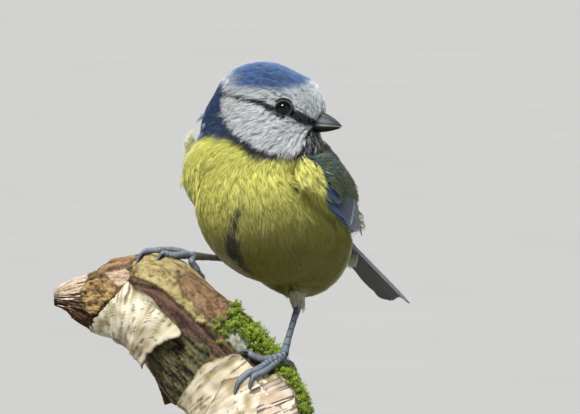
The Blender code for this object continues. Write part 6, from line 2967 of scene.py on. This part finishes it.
LEFT_LEG = Leg(
    Side.LEFT,
    ankle=(8.9, 6.4, 50.2),
    heel=(53.2, 22, 2.8),
    toes={
        Digit.INNER: ((52.5, 37, 1.3), (51.6, 46, 1.3), (50.5, 51, 1.4), (49.4, 52, 1.2), (48.7, 57, 1.0),
                      (48.4, 63, 0.5)),
        Digit.MIDDLE: ((53.0, 42, 1.3), (53.1, 54, 1.1), (52.8, 66, 1.2), (53.1, 77, 1.2), (53.7, 84, 1.4),
                       (54.9, 90, 1.1), (56.1, 93, 0.5)),
        Digit.OUTER: ((53.8, 37, 1.3), (54.1, 51, 1.1), (53.9, 62, 1.2), (54.4, 69, 1.5), (55.4, 74, 1.1),
                      (56.7, 75, 0.5)),
        Digit.HIND: ((54.3, 20, 1.3), (55.0, 8, 1.1), (55.9, -2, 1.2), (56.9, -8, 1.1), (57.9, -12, 0.5)),
    },
    shank_tone=Tone("#262b33", "#6c7783"),
)
RIGHT_LEG = Leg(
    Side.RIGHT,
    ankle=(-5.4, 18.0, 60.6),
    heel=(26.6, -8, 3.3),
    toes={
        Digit.MIDDLE: ((25.2, -4, 2.5), (24.2, -2, 2.0), (23.2, 4, 1.5), (21.6, 9, 1.2), (20.9, 20, 1.4),
                       (20.6, 30, 1.1), (20.6, 39, 0.5)),
        Digit.INNER: ((25.8, 0, 2.3), (25.2, 6, 1.5), (24.0, 10, 1.2), (23.8, 17, 1.4), (23.7, 23, 1.1),
                      (23.7, 28, 0.5)),
        Digit.OUTER: ((25.4, -14, 2.0), (24.0, -22, 1.2), (22.4, -28, 1.1), (21.4, -34, 1.2),
                      (20.8, -40, 1.0), (20.6, -45, 0.5)),
        Digit.HIND: ((26.9, -3, 1.9), (27.7, -5, 1.4), (28.7, -5, 1.1), (29.6, -2, 1.1), (30.3, 3, 0.5)),
    },
    # Brown-grey where the left shank is blue-grey: the leg's colour painted as it looks in shade.
    shank_tone=Tone("#332e26", "#6a6355"),
)


# The stand and the studio.


def turned(profile: Sequence[tuple[float, float]], sides: int) -> Build:
    """A body turned about the upright middle line.

    Args:
        profile: Its (radius, height) points, from the top to the underside.
        sides: How many sides it has.

    Returns:
        The closed body.
    """
    shape = np.array(profile, float)
    angle = full_turn(sides)
    ring = np.stack((np.cos(angle), np.sin(angle)), -1)
    height = np.broadcast_to(shape[:, None, 1:], (len(shape), sides, 1))
    points = np.concatenate((shape[:, None, :1] * ring[None], height), -1)
    return Build(points.reshape(-1, 3), grid_faces(len(shape), sides, closed=True))


@dataclass(frozen=True)
class Stand:
    """A turned walnut base, and the short steel rod that holds the branch."""

    radius: float = 42.0
    height: float = 6.0
    rod_radius: float = 3.0
    rod_foot: float = 6.05
    rod_top: float = 14.95

    def base(self) -> Build:
        """The base, with a groove round its top and a round moulding at its edge.

        Returns:
            The closed base.
        """
        r, h = self.radius, self.height
        corner = [
            (r - 0.9 + 0.9 * math.sin(a), h - 1.3 - 0.9 + 0.9 * math.cos(a))
            for a in np.linspace(0.3, 1.5708, 7)
        ]
        foot = [(r - 0.5 + 0.5 * math.cos(a), 0.5 - 0.5 * math.sin(a)) for a in np.linspace(0, 1.5708, 5)]
        groove = [
            (r - 3.2 - 0.45 * math.cos(a), h - 0.15 - 0.45 * math.sin(a)) for a in np.linspace(0.3, 2.84, 7)
        ]
        low = h - 0.02
        dish = [(self.rod_radius + 0.05, h), (6.0, h), (12.0, low), (24.0, low), (r - 5.0, low)]
        step = [(r - 1.9, h - 0.05), (r - 1.5, h - 0.5), (r - 1.5, h - 1.25)]
        wall = [(r, h - 3.0), (r, 1.4)]
        underside = [(r - 4.0, 0.0), (0.02, 0.0)]
        return turned([(0.02, h), *dish, *groove, *step, *corner, *wall, *foot, *underside], 160)

    def rod(self) -> Build:
        """The rod, with a collar at its foot and another beneath the branch.

        Returns:
            The closed rod.
        """
        r, low, high = self.rod_radius, self.rod_foot, self.rod_top
        foot = [(r + 1.5, low), (r + 1.6, low + 0.2), (r + 1.6, low + 0.9), (r + 1.3, low + 1.2)]
        foot += [(r + 0.1, low + 1.25)]
        shaft = [(r, low + 1.4), (r, high - 1.3), (r + 0.1, high - 1.2)]
        head = [(r + 0.9, high - 1.1), (r + 1.0, high - 0.9), (r + 1.0, high - 0.1), (r + 0.9, high)]
        return turned([(0.02, low), *foot, *shaft, *head, (0.02, high)], 64)

    def build(self) -> None:
        """Makes the base and the rod."""
        self.base().piece("stand_base_turned", OiledWalnut(), "stand_wood", ("stand_base",))
        self.rod().piece("stand_rod_collared", BrushedSteel(), "stand_steel", ("stand_rod",))


@dataclass(frozen=True)
class Studio:
    """A pale paper floor, soft light from the upper left, and the photo's long lens."""

    target: tuple = (6.83, 0.0, 0.0)
    rise: float = 74.5
    distance: float = 2500.0
    elevation: float = 3.0
    picture_width: float = 580.0
    pixels_per_mm: float = 4.1
    floor_half: float = 9000.0

    def floor(self) -> None:
        """A floor of paper that fills the picture, with no edge or wall in any view."""
        half = self.floor_half
        corners = ((-half, -half), (half, -half), (half, half), (-half, half))
        points = np.array([(x, y, -0.02) for x, y in corners])
        mesh = bpy.data.meshes.new("paper_floor")
        mesh.from_pydata((points * MM).tolist(), [], [(0, 1, 2, 3)])
        mesh.materials.append(StudioPaper().material())
        paper = bpy.data.objects.new("paper_floor", mesh)
        bpy.context.scene.collection.objects.link(paper)

    def lamp(self, name: str, place: tuple, spread: float, power: float, code: str) -> None:
        """Adds a far, soft light.

        Args:
            name: The lamp's name.
            place: Where its light comes from, as seen from the bird.
            spread: How wide it looks from there, in degrees.
            power: Watts for each square metre that faces it.
            code: Its colour.
        """
        light = bpy.data.lights.new(name, "SUN")
        light.angle, light.energy = math.radians(spread), power
        light.color = to_linear(code)
        lamp = bpy.data.objects.new(name, light)
        lamp.location = Vector(place) * MM
        lamp.rotation_euler = Vector(place).to_track_quat("Z", "Y").to_euler()
        bpy.context.scene.collection.objects.link(lamp)

    def lights(self) -> None:
        """A key like the photo's sun, a weak fill, a light for the edges and a pale sky."""
        self.lamp("key", (-330.0, -620.0, 825.0), 22.0, 6.3, "#fffdfb")
        self.lamp("fill", (700.0, -700.0, 180.0), 50.0, 0.5, "#e6eeff")
        self.lamp("edges", (250.0, 600.0, 620.0), 30.0, 1.5, "#ffffff")
        world = bpy.data.worlds.new("pale_sky")
        world.use_nodes = True
        sky = world.node_tree.nodes["Background"]
        sky.inputs["Color"].default_value = (*to_linear("#e9edf2"), 1.0)
        sky.inputs["Strength"].default_value = 0.24
        bpy.context.scene.world = world
        bpy.context.scene.view_settings.view_transform = "Standard"

    def camera(self) -> None:
        """The photo's view: a long lens, a little above the bird's own level."""
        tilt = math.radians(self.elevation)
        up = Vector((0.0, math.sin(tilt), math.cos(tilt)))
        back = Vector((0.0, -math.cos(tilt), math.sin(tilt)))
        lens = bpy.data.cameras.new("camera")
        lens.sensor_width = 36.0
        half_view = 0.5 * self.picture_width / self.pixels_per_mm / self.distance
        lens.lens = 0.5 * lens.sensor_width / half_view
        lens.clip_end = 100.0
        camera = bpy.data.objects.new("camera", lens)
        camera.location = (Vector(self.target) + up * self.rise + back * self.distance) * MM
        camera.rotation_euler = back.to_track_quat("Z", "Y").to_euler()
        bpy.context.scene.collection.objects.link(camera)
        bpy.context.scene.camera = camera

    def build(self) -> None:
        """Sets up the paper, the lights and the camera."""
        self.floor()
        self.lights()
        self.camera()


def main() -> None:
    """Builds the blue tit, its perch, its stand and the studio, in that order."""
    logging.basicConfig(level=logging.INFO, format="%(name)s %(message)s")
    draw = np.random.default_rng(SEED)
    LOG.info("skin")
    skin = Skin()
    form = skin.surface()
    skin.build(form)
    covering = ("wing_left", "wing_right", "tail")
    cover = joined_surface([mesh_shape(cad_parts[name].data) for name in covering])
    over = joined_surface([(form.points, form.faces), (cover.points, cover.faces)])
    shelter = joined_surface([Wing(side).shelter() for side in Side] + [(cover.points, cover.faces)])
    plumage = Plumage(over, draw)
    LOG.info("wings and tail")
    for side in Side:
        Wing(side).build(Plumage(cover, draw))
    Tail().build(plumage)
    LOG.info("eyes and bill")
    for side in Side:
        Eye(side).build()
    Bill().build(draw)
    LOG.info("coat")
    Coat().build(form, plumage, shelter.tree)
    for lap in LAPS:
        lap.build(plumage).piece("coat_lap_" + lap.side.label, DownyKeratin(), "body_plumage")
    tufts = [tuft.build(plumage) for tuft in TUFTS]
    tufts += [Sock(hip, ankle).build(plumage) for hip, ankle in MARKINGS.thighs]
    Build.joined(tufts).piece("coat_tufts", DownyKeratin(), "body_plumage")
    LOG.info("perch and legs")
    branch = Branch()
    wood = Build.joined([branch.body(), Splinters().build(branch, draw)])
    wood.piece("birch_branch", BirchBark(), "birch", ("perch",))
    Build.joined([sheet.build(branch) for sheet in SHEETS]).piece("birch_paper_bark", BirchBark(), "birch")
    Moss().build(branch, draw).piece("moss", MossLeaf(), "birch")
    for leg in (LEFT_LEG, RIGHT_LEG):
        leg.build(branch)
    LOG.info("stand and studio")
    Stand().build()
    Studio().build()


if __name__ == "__main__":
    main()
